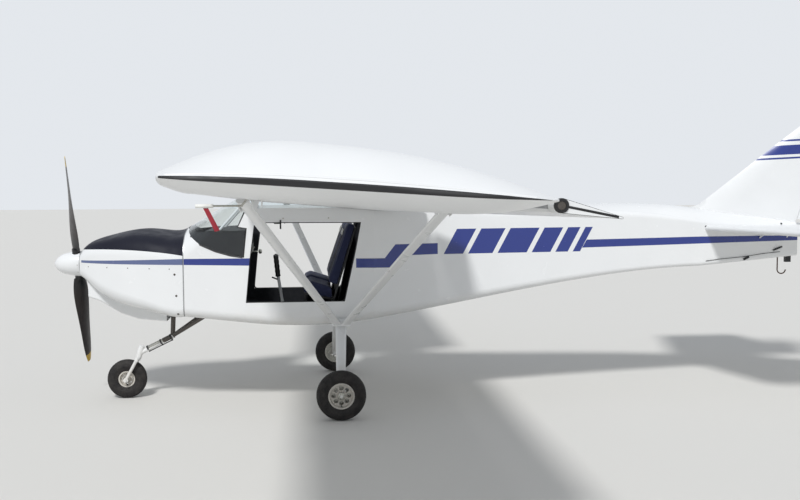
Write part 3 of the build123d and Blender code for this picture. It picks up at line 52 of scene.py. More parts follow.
import bmesh
import bpy
from bpy.props import FloatProperty, FloatVectorProperty, IntProperty, PointerProperty
from mathutils import Matrix, Vector

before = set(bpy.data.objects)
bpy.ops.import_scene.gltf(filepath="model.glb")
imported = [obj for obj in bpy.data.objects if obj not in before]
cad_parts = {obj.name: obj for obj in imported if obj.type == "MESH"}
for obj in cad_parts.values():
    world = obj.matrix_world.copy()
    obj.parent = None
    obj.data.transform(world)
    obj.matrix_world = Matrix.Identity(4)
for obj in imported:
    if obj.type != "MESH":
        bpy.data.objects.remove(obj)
CAD_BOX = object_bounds()
LENGTH = CAD_BOX[1][0] - CAD_BOX[0][0]
ROOT = "airframe"
SIDES = (("left", -1), ("right", 1))


def at(station):
    """X in metres of a station in millimetres"""
    return station / 1000 - LENGTH / 2


def spot(station, y, z):
    """Point in metres from a station, a distance to starboard and a height in millimetres"""
    return Vector((at(station), y / 1000, z / 1000))


def linear(hex_colour):
    """Linear colour of an sRGB hex value"""
    parts = [int(hex_colour[i:i + 2], 16) / 255 for i in (1, 3, 5)]
    return tuple(c / 12.92 if c <= 0.04045 else ((c + 0.055) / 1.055) ** 2.4 for c in parts)


def colour_property(name, description, hex_colour):
    """Colour that a user can change"""
    return FloatVectorProperty(
        name=name, description=description, default=linear(hex_colour), subtype="COLOR",
        min=0.0, max=1.0, size=3,
    )


class AircraftColours(bpy.types.PropertyGroup):
    """Colours of the finishes"""

    white: colour_property("Body white", "Gloss paint of the body and wings", "#e7e8e8")
    stripe: colour_property("Stripe blue", "Trim stripes along the body", "#263680")
    faded: colour_property("Faded stripe", "Weathered stripe on the cowling", "#5c678d")
    cowl: colour_property("Cowling top", "Dark glare-free top of the cowling", "#121422")
    # Near-black colour of the cabin lining: painted shade of the cabin interior
    painted_shade_lining: colour_property("Cabin lining", "Dark lining of the cabin", "#0b0c14")
    blade: colour_property("Propeller", "Varnished wooden blades", "#1d1413")
    tip: colour_property("Blade tips", "Warning paint on the blade tips", "#c8a63a")
    seat: colour_property("Seats", "Woven seat covers", "#0e1739")
    tyre: colour_property("Tyres", "Rubber of the tyres", "#181617")
    metal: colour_property("Bare metal", "Cast and turned aluminium", "#a9aaab")
    streamer: colour_property("Streamer", "Cloth of the probe's warning streamer", "#932733")


class AircraftSizes(bpy.types.PropertyGroup):
    """Sizes of the added detail"""

    groove_width: FloatProperty(
        name="Tread groove", description="Width of a groove in the tyre tread", default=0.005,
        unit="LENGTH", min=0.002, max=0.01,
    )
    fastener_radius: FloatProperty(
        name="Cowl fastener", description="Radius of a fastener head on the cowling", default=0.007,
        unit="LENGTH", min=0.003, max=0.02,
    )
    lathe_steps: IntProperty(
        name="Turned steps", description="Facets round a turned piece", default=96, min=24, max=256,
    )


def colours():
    """Colours set on the scene"""
    return bpy.context.scene.aircraft_colours


def sizes():
    """Sizes set on the scene"""
    return bpy.context.scene.aircraft_sizes


# Materials

MATH, MIX, SPREAD, BUMP = "ShaderNodeMath", "ShaderNodeMix", "ShaderNodeMapRange", "ShaderNodeBump"
ADD, SUBTRACT, MULTIPLY, DIVIDE, MAXIMUM, LESS, GREATER, SINE, ABSOLUTE, PINGPONG = (
    {"operation": word}
    for word in ("ADD", "SUBTRACT", "MULTIPLY", "DIVIDE", "MAXIMUM", "LESS_THAN", "GREATER_THAN",
                 "SINE", "ABSOLUTE", "PINGPONG")
)
COLOUR = {"data_type": "RGBA"}


def feed(tree, node, inputs):
    """Give a node its input values and its links from other nodes' sockets"""
    for key, value in inputs.items():
        socket = node.inputs[int(key[1:]) if key[1:].isdigit() else key]
        if isinstance(value, bpy.types.NodeSocket):
            tree.links.new(value, socket)
        else:
            socket.default_value = value


def add_node(tree, kind, settings=None, **inputs):
    """A node with its settings and its inputs, which are named, or numbered as i0, i1 and so on"""
    node = tree.nodes.new(kind)
    for key, value in (settings or {}).items():
        setattr(node, key, value)
    feed(tree, node, inputs)
    return node


def new_material(name):
    """Node material with its shader and output alone; returns it, its tree and the shader"""
    material = bpy.data.materials.new(name)
    material.use_nodes = True
    tree = material.node_tree
    tree.nodes.clear()
    shader = add_node(tree, "ShaderNodeBsdfPrincipled")
    add_node(tree, "ShaderNodeOutputMaterial", Surface=shader.outputs[0])
    return material, tree, shader


def place(tree):
    """Object coordinates in metres through a Mapping node"""
    coordinates = add_node(tree, "ShaderNodeTexCoord")
    return add_node(tree, "ShaderNodeMapping", i0=coordinates.outputs["Object"]).outputs[0]


def rgba(colour):
    """Colour with full opacity"""
    return (*colour, 1.0)


def tint(colour, factor):
    """Colour made darker or lighter"""
    return (*[min(1.0, c * factor) for c in colour], 1.0)


def speckle(tree, where, size_mm, low, high, detail=3.0):
    """Noise of a grain size in millimetres, spread between two values"""
    noise = add_node(
        tree, "ShaderNodeTexNoise", Vector=where, Scale=1000.0 / size_mm, Detail=detail,
    )
    return add_node(tree, SPREAD, i0=noise.outputs[0], i1=0.3, i2=0.7, i3=low, i4=high).outputs[0]


def uneven(tree, where, size_mm, colour, dark, light=1.0):
    """Colour that changes between two tones of itself in patches of a size in millimetres"""
    share = speckle(tree, where, size_mm, 0.0, 1.0)
    tones = {"i6": tint(colour, dark), "i7": tint(colour, light)}
    return add_node(tree, MIX, COLOUR, i0=share, **tones).outputs[2]


def wavy_skin(tree, where, size_mm, depth_mm, strength, detail=3.0):
    """Normal of a skin that rises and falls by a depth in patches of a size in millimetres"""
    height = speckle(tree, where, size_mm, 0.0, 1.0, detail)
    return add_node(tree, BUMP, Height=height, Distance=depth_mm / 1000, Strength=strength).outputs[0]


# Stripes: station, lower edge and upper edge in millimetres
FRONT_STRIPE = ((240, 1071, 1089), (1025, 1068, 1112), (1530, 1060, 1114))
FADED_AHEAD_OF = 1028
REAR_STEP = (
    (2289, 1035, 1104), (2502, 1032, 1102), (2542, 1031, 1152), (2583, 1053, 1203),
    (2708, 1120, 1204), (2905, 1124, 1206),
)
REAR_STRIPE = ((4047, 1150, 1150), (4084, 1151, 1212), (5037, 1164, 1220), (5925, 1178, 1217))
FIN_LINES = (
    ((5200, 1806, 1818), (5608, 1826, 1840), (6300, 1857, 1873)),
    ((5200, 1840, 1912), (5608, 1861, 1936), (6300, 1894, 1972)),
    ((5200, 1948, 1960), (5608, 1967, 1981), (6300, 2001, 2017)),
)
# Slanted bars between the two rear stripes: station of the foot, width at the foot
BARS = ((2950, 150), (3140, 190), (3370, 230), (3640, 150), (3830, 100), (3970, 60))
BAR_LOW, BAR_HIGH, BAR_LEAN = 1122, 1310, 0.55
# Room in millimetres that a stripe's curve keeps below and above its edge
EDGE_ROOM = 20


def edge_curve(tree, x, points):
    """Height in metres of an edge given at stations, straight between them"""
    first, last = at(points[0][0]), at(points[-1][0])
    heights = [height for _, height in points]
    low, span = min(heights) - EDGE_ROOM, max(heights) - min(heights) + 2 * EDGE_ROOM
    share = add_node(tree, SPREAD, i0=x, i1=first, i2=last).outputs[0]
    curve = add_node(tree, "ShaderNodeFloatCurve", i1=share)
    spline = curve.mapping.curves[0]
    for index, (station, height) in enumerate(points):
        where = ((at(station) - first) / (last - first), (height - low) / span)
        if index in (0, len(points) - 1):
            spline.points[-1 if index else 0].location = where
        else:
            spline.points.new(*where)
    for point in spline.points:
        point.handle_type = "VECTOR"
    curve.mapping.update()
    above_low = add_node(tree, MATH, MULTIPLY, i0=curve.outputs[0], i1=span / 1000).outputs[0]
    return add_node(tree, MATH, ADD, i0=above_low, i1=low / 1000).outputs[0]


def all_hold(tree, tests):
    """1 where each value stands to its limit as its test says, 0 elsewhere"""
    total = None
    for value, test, limit in tests:
        holds = add_node(tree, MATH, test, i0=value, i1=limit).outputs[0]
        if total is not None:
            holds = add_node(tree, MATH, MULTIPLY, i0=total, i1=holds).outputs[0]
        total = holds
    return total


def stripe_mask(tree, x, z, table):
    """1 inside a stripe, 0 outside"""
    low, high = (edge_curve(tree, x, [(row[0], row[i]) for row in table]) for i in (1, 2))
    return all_hold(tree, (
        (z, GREATER, low), (z, LESS, high),
        (x, GREATER, at(table[0][0])), (x, LESS, at(table[-1][0])),
    ))


def bar_mask(tree, x, z, foot, width):
    """1 inside one slanted bar, 0 outside"""
    above_low = add_node(tree, MATH, SUBTRACT, i0=z, i1=BAR_LOW / 1000).outputs[0]
    lean = add_node(tree, MATH, MULTIPLY, i0=above_low, i1=BAR_LEAN).outputs[0]
    local = add_node(tree, MATH, SUBTRACT, i0=x, i1=lean).outputs[0]
    return all_hold(tree, (
        (local, GREATER, at(foot)), (local, LESS, at(foot + width)),
        (z, GREATER, BAR_LOW / 1000), (z, LESS, BAR_HIGH / 1000),
    ))


def gloss_paint(
    name, base, roughness=0.22, stripes=(), bars=(), beige_below=None, coat=0.3, specular=0.5,
):
    """Two-pack paint on composite, gloss or satin: an even film with a faint ripple left by the
    mould and the spray gun, a slight uneven tone, and a beige tone in patches towards the bottom"""
    material, tree, shader = new_material(name)
    where = place(tree)
    tone = uneven(tree, where, 420, base, 0.965)
    x, _, z = add_node(tree, "ShaderNodeSeparateXYZ", i0=where).outputs
    masks = [stripe_mask(tree, x, z, table) for table in stripes]
    masks += [bar_mask(tree, x, z, *row) for row in bars]
    if masks:
        total = masks[0]
        for mask in masks[1:]:
            total = add_node(tree, MATH, MAXIMUM, i0=total, i1=mask).outputs[0]
        ahead = add_node(tree, MATH, LESS, i0=x, i1=at(FADED_AHEAD_OF)).outputs[0]
        blues = {"i6": rgba(colours().stripe), "i7": rgba(colours().faded)}
        blue = add_node(tree, MIX, COLOUR, i0=ahead, **blues).outputs[2]
        tone = add_node(tree, MIX, COLOUR, i0=total, i6=tone, i7=blue).outputs[2]
    # Beige mixed into the paint in patches below a given height, growing lower down
    if beige_below is not None:
        heights = {"i1": beige_below, "i2": beige_below - 0.25}
        low = add_node(tree, SPREAD, i0=z, i3=0.0, i4=0.4, **heights).outputs[0]
        patches = speckle(tree, where, 60, 0.25, 1.0)
        dust = add_node(tree, MATH, MULTIPLY, i0=low, i1=patches).outputs[0]
        tone = add_node(tree, MIX, COLOUR, i0=dust, i6=tone, i7=rgba(linear("#b9ab92"))).outputs[2]
    feed(tree, shader, {
        "Base Color": tone,
        "Roughness": speckle(tree, where, 90, roughness * 0.85, roughness * 1.25),
        "IOR": 1.5,
        "Specular IOR Level": specular,
        "Coat Weight": coat,
        "Coat Roughness": 0.08,
        "Normal": wavy_skin(tree, where, 260, 1.2, 0.25, detail=1.0),
    })
    return material


def covered_fabric(name, base, rib_pitch_mm, stripes=()):
    """Doped sailcloth drawn over ribs: satin white, a line of tape over each rib and a faint
    sag of the cloth between the ribs"""
    material, tree, shader = new_material(name)
    where = place(tree)
    x, y, z = add_node(tree, "ShaderNodeSeparateXYZ", i0=where).outputs
    tone = uneven(tree, where, 350, base, 0.955)
    for table in stripes:
        mask = stripe_mask(tree, x, z, table)
        tone = add_node(tree, MIX, COLOUR, i0=mask, i6=tone, i7=rgba(colours().stripe)).outputs[2]
    half_pitch = rib_pitch_mm / 2000
    out = add_node(tree, MATH, ABSOLUTE, i0=y).outputs[0]
    from_rib = add_node(tree, MATH, PINGPONG, i0=out, i1=half_pitch).outputs[0]
    share = add_node(tree, MATH, DIVIDE, i0=from_rib, i1=half_pitch).outputs[0]
    tape = add_node(tree, SPREAD, i0=share, i1=0.06, i2=0.09, i3=1.0, i4=0.0).outputs[0]
    quarter_turn = add_node(tree, MATH, MULTIPLY, i0=share, i1=math.pi / 2).outputs[0]
    sag = add_node(tree, MATH, SINE, i0=quarter_turn).outputs[0]
    ridge = add_node(tree, MATH, MULTIPLY, i0=tape, i1=0.12).outputs[0]
    height = add_node(tree, MATH, SUBTRACT, i0=ridge, i1=sag).outputs[0]
    feed(tree, shader, {
        "Base Color": tone,
        "Roughness": speckle(tree, where, 70, 0.3, 0.42),
        "IOR": 1.5,
        "Coat Weight": 0.15,
        "Coat Roughness": 0.2,
        "Normal": add_node(tree, BUMP, Height=height, Distance=0.0016, Strength=0.35).outputs[0],
    })
    return material


def satin_metal(name, colour, roughness, metallic=1.0):
    """Metal worked by tool or brush, bare or under enamel: fine specks in the gloss and a
    slight change of tone"""
    material, tree, shader = new_material(name)
    where = place(tree)
    feed(tree, shader, {
        "Base Color": uneven(tree, where, 14, colour, 0.8),
        "Metallic": metallic,
        "Roughness": speckle(tree, where, 9, roughness * 0.75, roughness * 1.3),
        "Normal": wavy_skin(tree, where, 2.5, 0.15, 0.3),
    })
    return material


def rubber(name, colour):
    """Vulcanised rubber: dark grey, dull, with pale dust held in its grain"""
    material, tree, shader = new_material(name)
    where = place(tree)
    dust = speckle(tree, where, 45, 0.0, 0.14, detail=6.0)
    tones = {"i6": rgba(colour), "i7": rgba(linear("#6f6a62"))}
    feed(tree, shader, {
        "Base Color": add_node(tree, MIX, COLOUR, i0=dust, **tones).outputs[2],
        "Roughness": speckle(tree, where, 12, 0.6, 0.85),
        "IOR": 1.52,
        "Specular IOR Level": 0.35,
        "Normal": wavy_skin(tree, where, 1.5, 0.2, 0.4),
    })
    return material


def moulded_plastic(name, colour, roughness=0.55, grain_mm=1.2, depth_mm=0.25):
    """Moulded plastic or leathercloth with a fine pebbled grain"""
    material, tree, shader = new_material(name)
    where = place(tree)
    cells = add_node(tree, "ShaderNodeTexVoronoi", Vector=where, Scale=1000.0 / grain_mm).outputs[0]
    pebbled = add_node(tree, BUMP, Height=cells, Distance=depth_mm / 1000, Strength=0.5).outputs[0]
    feed(tree, shader, {
        "Base Color": uneven(tree, where, 60, colour, 0.85, 1.15),
        "Roughness": speckle(tree, where, 30, roughness * 0.9, roughness * 1.15),
        "Normal": pebbled,
    })
    return material


def clear_acrylic(name):
    """Clear acrylic sheet, too thin to bend the view: a sharp reflection that grows towards a
    glancing angle, over a barely tinted view through"""
    material, tree, shader = new_material(name)
    feed(tree, shader, {
        "Base Color": rgba(linear("#f2f6f6")),
        "Roughness": speckle(tree, place(tree), 80, 0.01, 0.035),
        "IOR": 1.49,
        "Metallic": 1.0,
    })
    behind = add_node(tree, "ShaderNodeNewGeometry").outputs["Backfacing"]
    ahead = add_node(tree, MATH, SUBTRACT, i0=1.0, i1=behind).outputs[0]
    glance = add_node(tree, "ShaderNodeFresnel", IOR=1.49).outputs[0]
    share = add_node(tree, MATH, MULTIPLY, i0=glance, i1=ahead).outputs[0]
    through = add_node(tree, "ShaderNodeBsdfTransparent", i0=rgba(linear("#fafcfc"))).outputs[0]
    sheet = add_node(tree, "ShaderNodeMixShader", i0=share, i1=through, i2=shader.outputs[0])
    output = next(node for node in tree.nodes if node.type == "OUTPUT_MATERIAL")
    feed(tree, output, {"Surface": sheet.outputs[0]})
    return material


# Blades: station and height of their middle, and distances from it in metres
BLADE_MIDDLE = (173, 1051)
YELLOW_FROM, WRAP_TO = 0.795, 0.215


def varnished_blade(name):
    """Laminated wood under dark varnish: mottled grain, yellow tips and a black wrap at the
    root"""
    material, tree, shader = new_material(name)
    where = place(tree)
    hub = tuple(spot(BLADE_MIDDLE[0], 0, BLADE_MIDDLE[1]))
    local = add_node(tree, "ShaderNodeVectorMath", SUBTRACT, i0=where, i1=hub).outputs[0]
    reach = add_node(tree, "ShaderNodeVectorMath", {"operation": "LENGTH"}, i0=local).outputs[1]
    tone = uneven(tree, where, 18, colours().blade, 0.7, 1.25)
    for test, limit, colour in (
        (GREATER, YELLOW_FROM, colours().tip), (LESS, WRAP_TO, linear("#131315")),
    ):
        mask = add_node(tree, MATH, test, i0=reach, i1=limit).outputs[0]
        tone = add_node(tree, MIX, COLOUR, i0=mask, i6=tone, i7=rgba(colour)).outputs[2]
    feed(tree, shader, {
        "Base Color": tone,
        "Roughness": speckle(tree, where, 40, 0.34, 0.46),
        "IOR": 1.5,
        "Coat Weight": 0.15,
        "Coat Roughness": 0.2,
    })
    return material


def woven_cloth(name, colour, thread_mm=2.4):
    """Plain-woven upholstery cloth with a soft sheen, its threads painted darker in the weave's
    hollows and lighter on its crowns as painted shade and highlight. The real thread is about 0.5 mm
    and is drawn coarser so that it shows"""
    material, tree, shader = new_material(name)
    where = place(tree)
    turn = 2 * math.pi * 1000 / (2 * thread_mm)
    waves = []
    for axis in add_node(tree, "ShaderNodeSeparateXYZ", i0=where).outputs:
        angle = add_node(tree, MATH, MULTIPLY, i0=axis, i1=turn).outputs[0]
        waves.append(add_node(tree, MATH, SINE, i0=angle).outputs[0])
    warp = add_node(tree, MATH, ADD, i0=waves[0], i1=waves[2]).outputs[0]
    weave = add_node(tree, MATH, MULTIPLY, i0=warp, i1=waves[1]).outputs[0]
    shade = add_node(tree, SPREAD, i0=weave, i1=-1.5, i2=1.5, i3=0.0, i4=1.0).outputs[0]
    # Hollows of the weave painted darker and its crowns lighter: painted shade and highlight of the
    # relief
    tones = {"i6": tint(colour, 0.7), "i7": tint(colour, 1.2)}
    tone = add_node(tree, MIX, COLOUR, i0=shade, **tones).outputs[2]
    worn = speckle(tree, where, 140, 0.0, 0.25)
    feed(tree, shader, {
        "Base Color": add_node(tree, MIX, COLOUR, i0=worn, i6=tone, i7=tint(colour, 1.4)).outputs[2],
        "Roughness": 0.85,
        "Sheen Weight": 0.1,
        "Sheen Roughness": 0.5,
        "Normal": add_node(tree, BUMP, Height=shade, Distance=0.0005, Strength=0.5).outputs[0],
    })
    return material


MATERIALS = {}


def make_materials():
    """All finishes, each made once"""
    c = colours()
    MATERIALS.update({
        "body": gloss_paint(
            "gloss painted composite body", c.white, stripes=(FRONT_STRIPE, REAR_STEP, REAR_STRIPE),
            bars=BARS, beige_below=0.75,
        ),
        "plain": gloss_paint("gloss painted composite", c.white),
        "cowl": gloss_paint("satin dark cowl paint", c.cowl, roughness=0.5, coat=0.02, specular=0.2),
        "wheel": satin_metal("cream painted alloy", linear("#cdc8bf"), 0.4, metallic=0.25),
        "wing": covered_fabric("doped sailcloth over ribs", c.white, 330),
        "tail": covered_fabric("doped sailcloth tail", c.white, 260, stripes=FIN_LINES),
        "leg": gloss_paint("white enamelled tube", c.white, roughness=0.3, beige_below=0.45),
        "metal": satin_metal("cast aluminium", c.metal, 0.38),
        "steel": satin_metal("zinc plated steel", linear("#b7b6ae"), 0.3),
        "dark_metal": satin_metal("black enamelled steel", linear("#1a1b1d"), 0.4, metallic=0.0),
        "tyre": rubber("vulcanised tyre rubber", c.tyre),
        "acrylic": clear_acrylic("clear acrylic sheet"),
        "blade": varnished_blade("varnished laminated wood"),
        "panel": moulded_plastic("black leathercloth", linear("#0d0d0f"), 0.6, 1.6),
        "trim": moulded_plastic("moulded black trim", linear("#101012"), 0.5),
        # Lining in near black: painted shade of the cabin and of the clear screen's foot
        "painted_shade_lining": moulded_plastic("dark navy leathercloth lining", c.painted_shade_lining, 0.75, 1.4),
        "webbing": woven_cloth("black belt webbing", linear("#101014"), 1.6),
        "tube": satin_metal("weathered grey tube", linear("#5f5a55"), 0.45, metallic=0.6),
        "rusty": satin_metal("lightly rusted steel", linear("#5a4336"), 0.6, metallic=0.5),
        "seat": woven_cloth("navy woven cloth", c.seat),
        "streamer": woven_cloth("red woven streamer", c.streamer),
        "dial": moulded_plastic("black dial enamel", linear("#101114"), 0.3, 0.8, 0.05),
        "cover": moulded_plastic("white soft cover", linear("#dcdcd8"), 0.6),
    })


NODE_FINISH = {
    "body": ("cowl_lower", "side_panel_left", "side_panel_right", "rear_fuselage"),
    "plain": ("chin_duct", "floor_panel", "bulkhead", "spinner"),
    "cowl": ("cowl_upper",),
    "wing": ("wing_left", "wing_right", "wing_tip_left", "wing_tip_right", "flaperon_left",
             "flaperon_right", "tailplane_left", "tailplane_right", "elevator"),
    "tail": ("fin", "rudder"),
    "leg": ("main_leg_left", "main_leg_right", "nose_leg", "nose_fork", "wing_struts_left",
            "wing_struts_right", "screen_braces", "control_stick", "tail_braces",
            "strut_fittings"),
    "wheel": ("main_hub_left", "main_hub_right", "nose_hub"),
    "metal": ("engine_block", "firewall", "flaperon_hangers", "rudder_hinges",
              "elevator_hinges"),
    "steel": ("airspeed_probe",),
    "rusty": ("tow_hook",),
    "dark_metal": ("cabin_frame", "tow_release"),
    "tyre": ("main_tyre_left", "main_tyre_right", "nose_tyre"),
    "acrylic": ("windscreen", "roof_panel"),
    "blade": ("propeller",),
    "panel": ("instrument_panel",),
    "trim": ("seat_frame",),
    "seat": ("seat_cushion_left", "seat_cushion_right", "seat_back_left", "seat_back_right"),
    "streamer": ("warning_streamer",),
    "cover": ("probe_cover",),
}


def paint(obj, finish):
    """Give an object one finish"""
    obj.data.materials.clear()
    obj.data.materials.append(MATERIALS[finish])


class FinishNodes(bpy.types.Operator):
    """Give every carried-over CAD node its finish"""

    bl_idname = "microlight.finish_nodes"
    bl_label = "Finish the CAD pieces"

    def execute(self, context):
        make_materials()
        for finish, names in NODE_FINISH.items():
            for name in names:
                paint(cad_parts[name], finish)
        return {"FINISHED"}


# Modelling by operators


def clear():
    """Leave edit mode and deselect everything"""
    if bpy.context.object and bpy.context.object.mode != "OBJECT":
        bpy.ops.object.mode_set(mode="OBJECT")
    bpy.ops.object.select_all(action="DESELECT")


def pick(*objects):
    """Select these objects alone, the first one active"""
    clear()
    for obj in objects:
        obj.select_set(True)
    bpy.context.view_layer.objects.active = objects[0]


def apply_modifier(obj, kind, **settings):
    """Add one modifier and apply it"""
    pick(obj)
    modifier = obj.modifiers.new(kind.lower(), kind)
    for key, value in settings.items():
        setattr(modifier, key, value)
    bpy.ops.object.modifier_apply(modifier=modifier.name)


def settle(obj, name, finish, body=ROOT, smooth=35, replaces=()):
    """Finish a piece: its place goes into its mesh, then its name, finish and body"""
    pick(obj)
    bpy.ops.object.transform_apply(location=True, rotation=True, scale=True)
    obj.name = obj.data.name = name
    bpy.ops.object.shade_smooth_by_angle(angle=math.radians(smooth))
    paint(obj, finish)
    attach(obj, body)
    if replaces:
        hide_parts(*replaces)
    clear()
    return obj


def join(pieces):
    """One object from several"""
    pick(*pieces)
    if len(pieces) > 1:
        bpy.ops.object.join()
    return bpy.context.object


def turned(profile, centre, axis, steps=None):
    """Closed profile of (radius, distance along the axis) in metres, spun once round"""
    clear()
    axis = Vector(axis).normalized()
    side = axis.orthogonal().normalized()
    bpy.ops.mesh.primitive_circle_add(vertices=len(profile), fill_type="NOTHING")
    obj = bpy.context.object
    for vertex, (radius, along) in zip(obj.data.vertices, profile):
        vertex.co = Vector(centre) + side * radius + axis * along
    bpy.ops.object.mode_set(mode="EDIT")
    bpy.ops.mesh.select_all(action="SELECT")
    bpy.ops.mesh.spin(steps=steps or sizes().lathe_steps, angle=2 * math.pi, center=centre, axis=axis)
    bpy.ops.mesh.select_all(action="SELECT")
    bpy.ops.mesh.remove_doubles(threshold=0.00005)
    bpy.ops.mesh.normals_make_consistent(inside=False)
    bpy.ops.object.mode_set(mode="OBJECT")
    return obj


def bar(start, end, radius, sides=16, edge=0.0):
    """Round bar between two points, its ends rounded off where an edge is given"""
    start, end = Vector(start), Vector(end)
    clear()
    bpy.ops.mesh.primitive_cylinder_add(
        vertices=sides, radius=radius, depth=(end - start).length, location=(start + end) / 2,
        rotation=(end - start).to_track_quat("Z", "Y").to_euler(),
    )
    obj = bpy.context.object
    if edge:
        bpy.ops.object.mode_set(mode="EDIT")
        bpy.ops.mesh.select_all(action="DESELECT")
        bpy.ops.mesh.select_mode(type="FACE")
        shape = bmesh.from_edit_mesh(obj.data)
        for face in shape.faces:
            face.select = len(face.verts) == sides
        bmesh.update_edit_mesh(obj.data)
        bpy.ops.mesh.bevel(offset=edge, segments=2)
        bpy.ops.object.mode_set(mode="OBJECT")
    return obj


def block(centre, size, edge=0.002, turn=(0, 0, 0)):
    """Box with rounded edges"""
    clear()
    bpy.ops.mesh.primitive_cube_add(size=1, location=centre, rotation=turn)
    obj = bpy.context.object
    obj.scale = size
    bpy.ops.object.transform_apply(location=True, rotation=True, scale=True)
    apply_modifier(obj, "BEVEL", width=edge, segments=3, limit_method="ANGLE")
    return obj


def rod_through(points, radius, closed=False, corner=0.0, sides=10):
    """Round strip along a run of points, its corners rounded where a corner is given"""
    clear()
    bpy.ops.mesh.primitive_circle_add(vertices=len(points), fill_type="NOTHING")
    obj = bpy.context.object
    for vertex, point in zip(obj.data.vertices, points):
        vertex.co = point
    bpy.ops.object.mode_set(mode="EDIT")
    shape = bmesh.from_edit_mesh(obj.data)
    shape.verts.ensure_lookup_table()
    if not closed:
        last = [e for e in shape.edges if {v.index for v in e.verts} == {0, len(points) - 1}]
        bmesh.ops.delete(shape, geom=last, context="EDGES")
        shape.verts.ensure_lookup_table()
    for vertex in shape.verts:
        vertex.select = len(vertex.link_edges) == 2
    bmesh.update_edit_mesh(obj.data)
    if corner:
        bpy.ops.mesh.select_mode(type="VERT")
        bpy.ops.mesh.bevel(offset=corner, segments=5, affect="VERTICES")
    bpy.ops.object.mode_set(mode="OBJECT")
    bpy.ops.object.convert(target="CURVE")
    obj = bpy.context.object
    obj.data.bevel_depth = radius
    obj.data.bevel_resolution = max(1, sides // 4)
    obj.data.use_fill_caps = True
    bpy.ops.object.convert(target="MESH")
    return bpy.context.object


MERGE_DISTANCE = 0.0001


def copy_node(name):
    """Merged copy of a CAD node's mesh"""
    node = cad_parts[name]
    obj = bpy.data.objects.new(name + " copy", node.data.copy())
    bpy.context.scene.collection.objects.link(obj)
    pick(obj)
    bpy.ops.object.mode_set(mode="EDIT")
    bpy.ops.mesh.select_all(action="SELECT")
    bpy.ops.mesh.remove_doubles(threshold=MERGE_DISTANCE)
    bpy.ops.object.mode_set(mode="OBJECT")
    return obj


def band(name, low, high, axis, lift, depth):
    """Strip of a CAD node's skin between two places along an axis, raised off it"""
    obj = copy_node(name)
    bpy.ops.object.mode_set(mode="EDIT")
    for place_at, below, above in ((low, True, False), (high, False, True)):
        point, normal = [0, 0, 0], [0, 0, 0]
        point[axis], normal[axis] = place_at, 1
        bpy.ops.mesh.select_all(action="SELECT")
        bpy.ops.mesh.bisect(
            plane_co=point, plane_no=normal, clear_inner=below, clear_outer=above, use_fill=False,
        )
    bpy.ops.object.mode_set(mode="OBJECT")
    if not obj.data.polygons:
        raise RuntimeError(f"no strip of {name} between {low} and {high}")
    apply_modifier(obj, "SOLIDIFY", thickness=depth, offset=(2 * lift / depth) - 1)
    return obj


def cut_patch(name, planes, wanted, gap, depth):
    """Faces of a CAD node's skin inside the planes that pass a test of their middle and
    normal, raised off the skin and thickened"""
    obj = copy_node(name)
    bpy.ops.object.mode_set(mode="EDIT")
    for point, normal in planes:
        bpy.ops.mesh.select_all(action="SELECT")
        away = Vector(normal).normalized()
        bpy.ops.mesh.bisect(plane_co=point, plane_no=away, clear_outer=True, use_fill=False)
    bpy.ops.mesh.select_all(action="DESELECT")
    bpy.ops.mesh.select_mode(type="FACE")
    shape = bmesh.from_edit_mesh(obj.data)
    for face in shape.faces:
        face.select = not wanted(face.calc_center_median(), face.normal)
    bmesh.update_edit_mesh(obj.data)
    bpy.ops.mesh.delete(type="FACE")
    bpy.ops.object.mode_set(mode="OBJECT")
    apply_modifier(obj, "DISPLACE", strength=gap, mid_level=0.0)
    apply_modifier(obj, "SOLIDIFY", thickness=depth, offset=1)
    return obj


def strap(points, width, thickness=0.0018):
    """Flat strap that runs through points, lying across +Y"""
    clear()
    bpy.ops.mesh.primitive_grid_add(x_subdivisions=len(points) - 1, y_subdivisions=2, size=1)
    obj = bpy.context.object
    for vertex in obj.data.vertices:
        step = round((vertex.co.x + 0.5) * (len(points) - 1))
        vertex.co = Vector(points[step]) + Vector((0, vertex.co.y * width, 0))
    apply_modifier(obj, "SUBSURF", levels=2)
    apply_modifier(obj, "SOLIDIFY", thickness=thickness, offset=0)
    return obj


# Places in millimetres from which rays look for the skin
BESIDE_CABIN, BESIDE_TAIL, ABOVE_WING = 900, 600, 2400


def skin_point(node, origin, direction):
    """Where a ray meets a CAD node's skin, and the skin's normal"""
    hit, where, normal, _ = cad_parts[node].ray_cast(origin, Vector(direction).normalized())
    if not hit:
        raise RuntimeError(f"no skin of {node} along the ray from {tuple(origin)}")
    return where, normal


def set_down(master, places):
    """Copies of one small piece, each turned from +Z to a direction and moved to a point"""
    copies = []
    for point, direction in places:
        obj = master.copy()
        obj.data = master.data.copy()
        bpy.context.scene.collection.objects.link(obj)
        turn = Vector(direction).to_track_quat("Z", "Y").to_matrix().to_4x4()
        obj.data.transform(Matrix.Translation(point) @ turn)
        copies.append(obj)
    bpy.data.objects.remove(master)
    return join(copies)


def hex_bolt(radius, height):
    """Bolt head and washer standing on the origin along +Z"""
    clear()
    bpy.ops.mesh.primitive_cylinder_add(
        vertices=6, radius=radius, depth=height, location=(0, 0, height * 0.75),
    )
    head = bpy.context.object
    apply_modifier(head, "BEVEL", width=radius * 0.12, segments=2, limit_method="ANGLE")
    bpy.ops.mesh.primitive_cylinder_add(
        vertices=24, radius=radius * 1.35, depth=height * 0.3, location=(0, 0, height * 0.12),
    )
    return join([head, bpy.context.object])


# Domed head: shares of its radius and height
HEAD_PROFILE = ((0, 0), (1, 0), (1, 0.35), (0.75, 0.8), (0.3, 1), (0, 1))


def round_head(radius, height):
    """Low domed fastener head standing on the origin along +Z"""
    profile = [(radius * out, height * up) for out, up in HEAD_PROFILE]
    return turned(profile, (0, 0, 0), (0, 0, 1), 20)


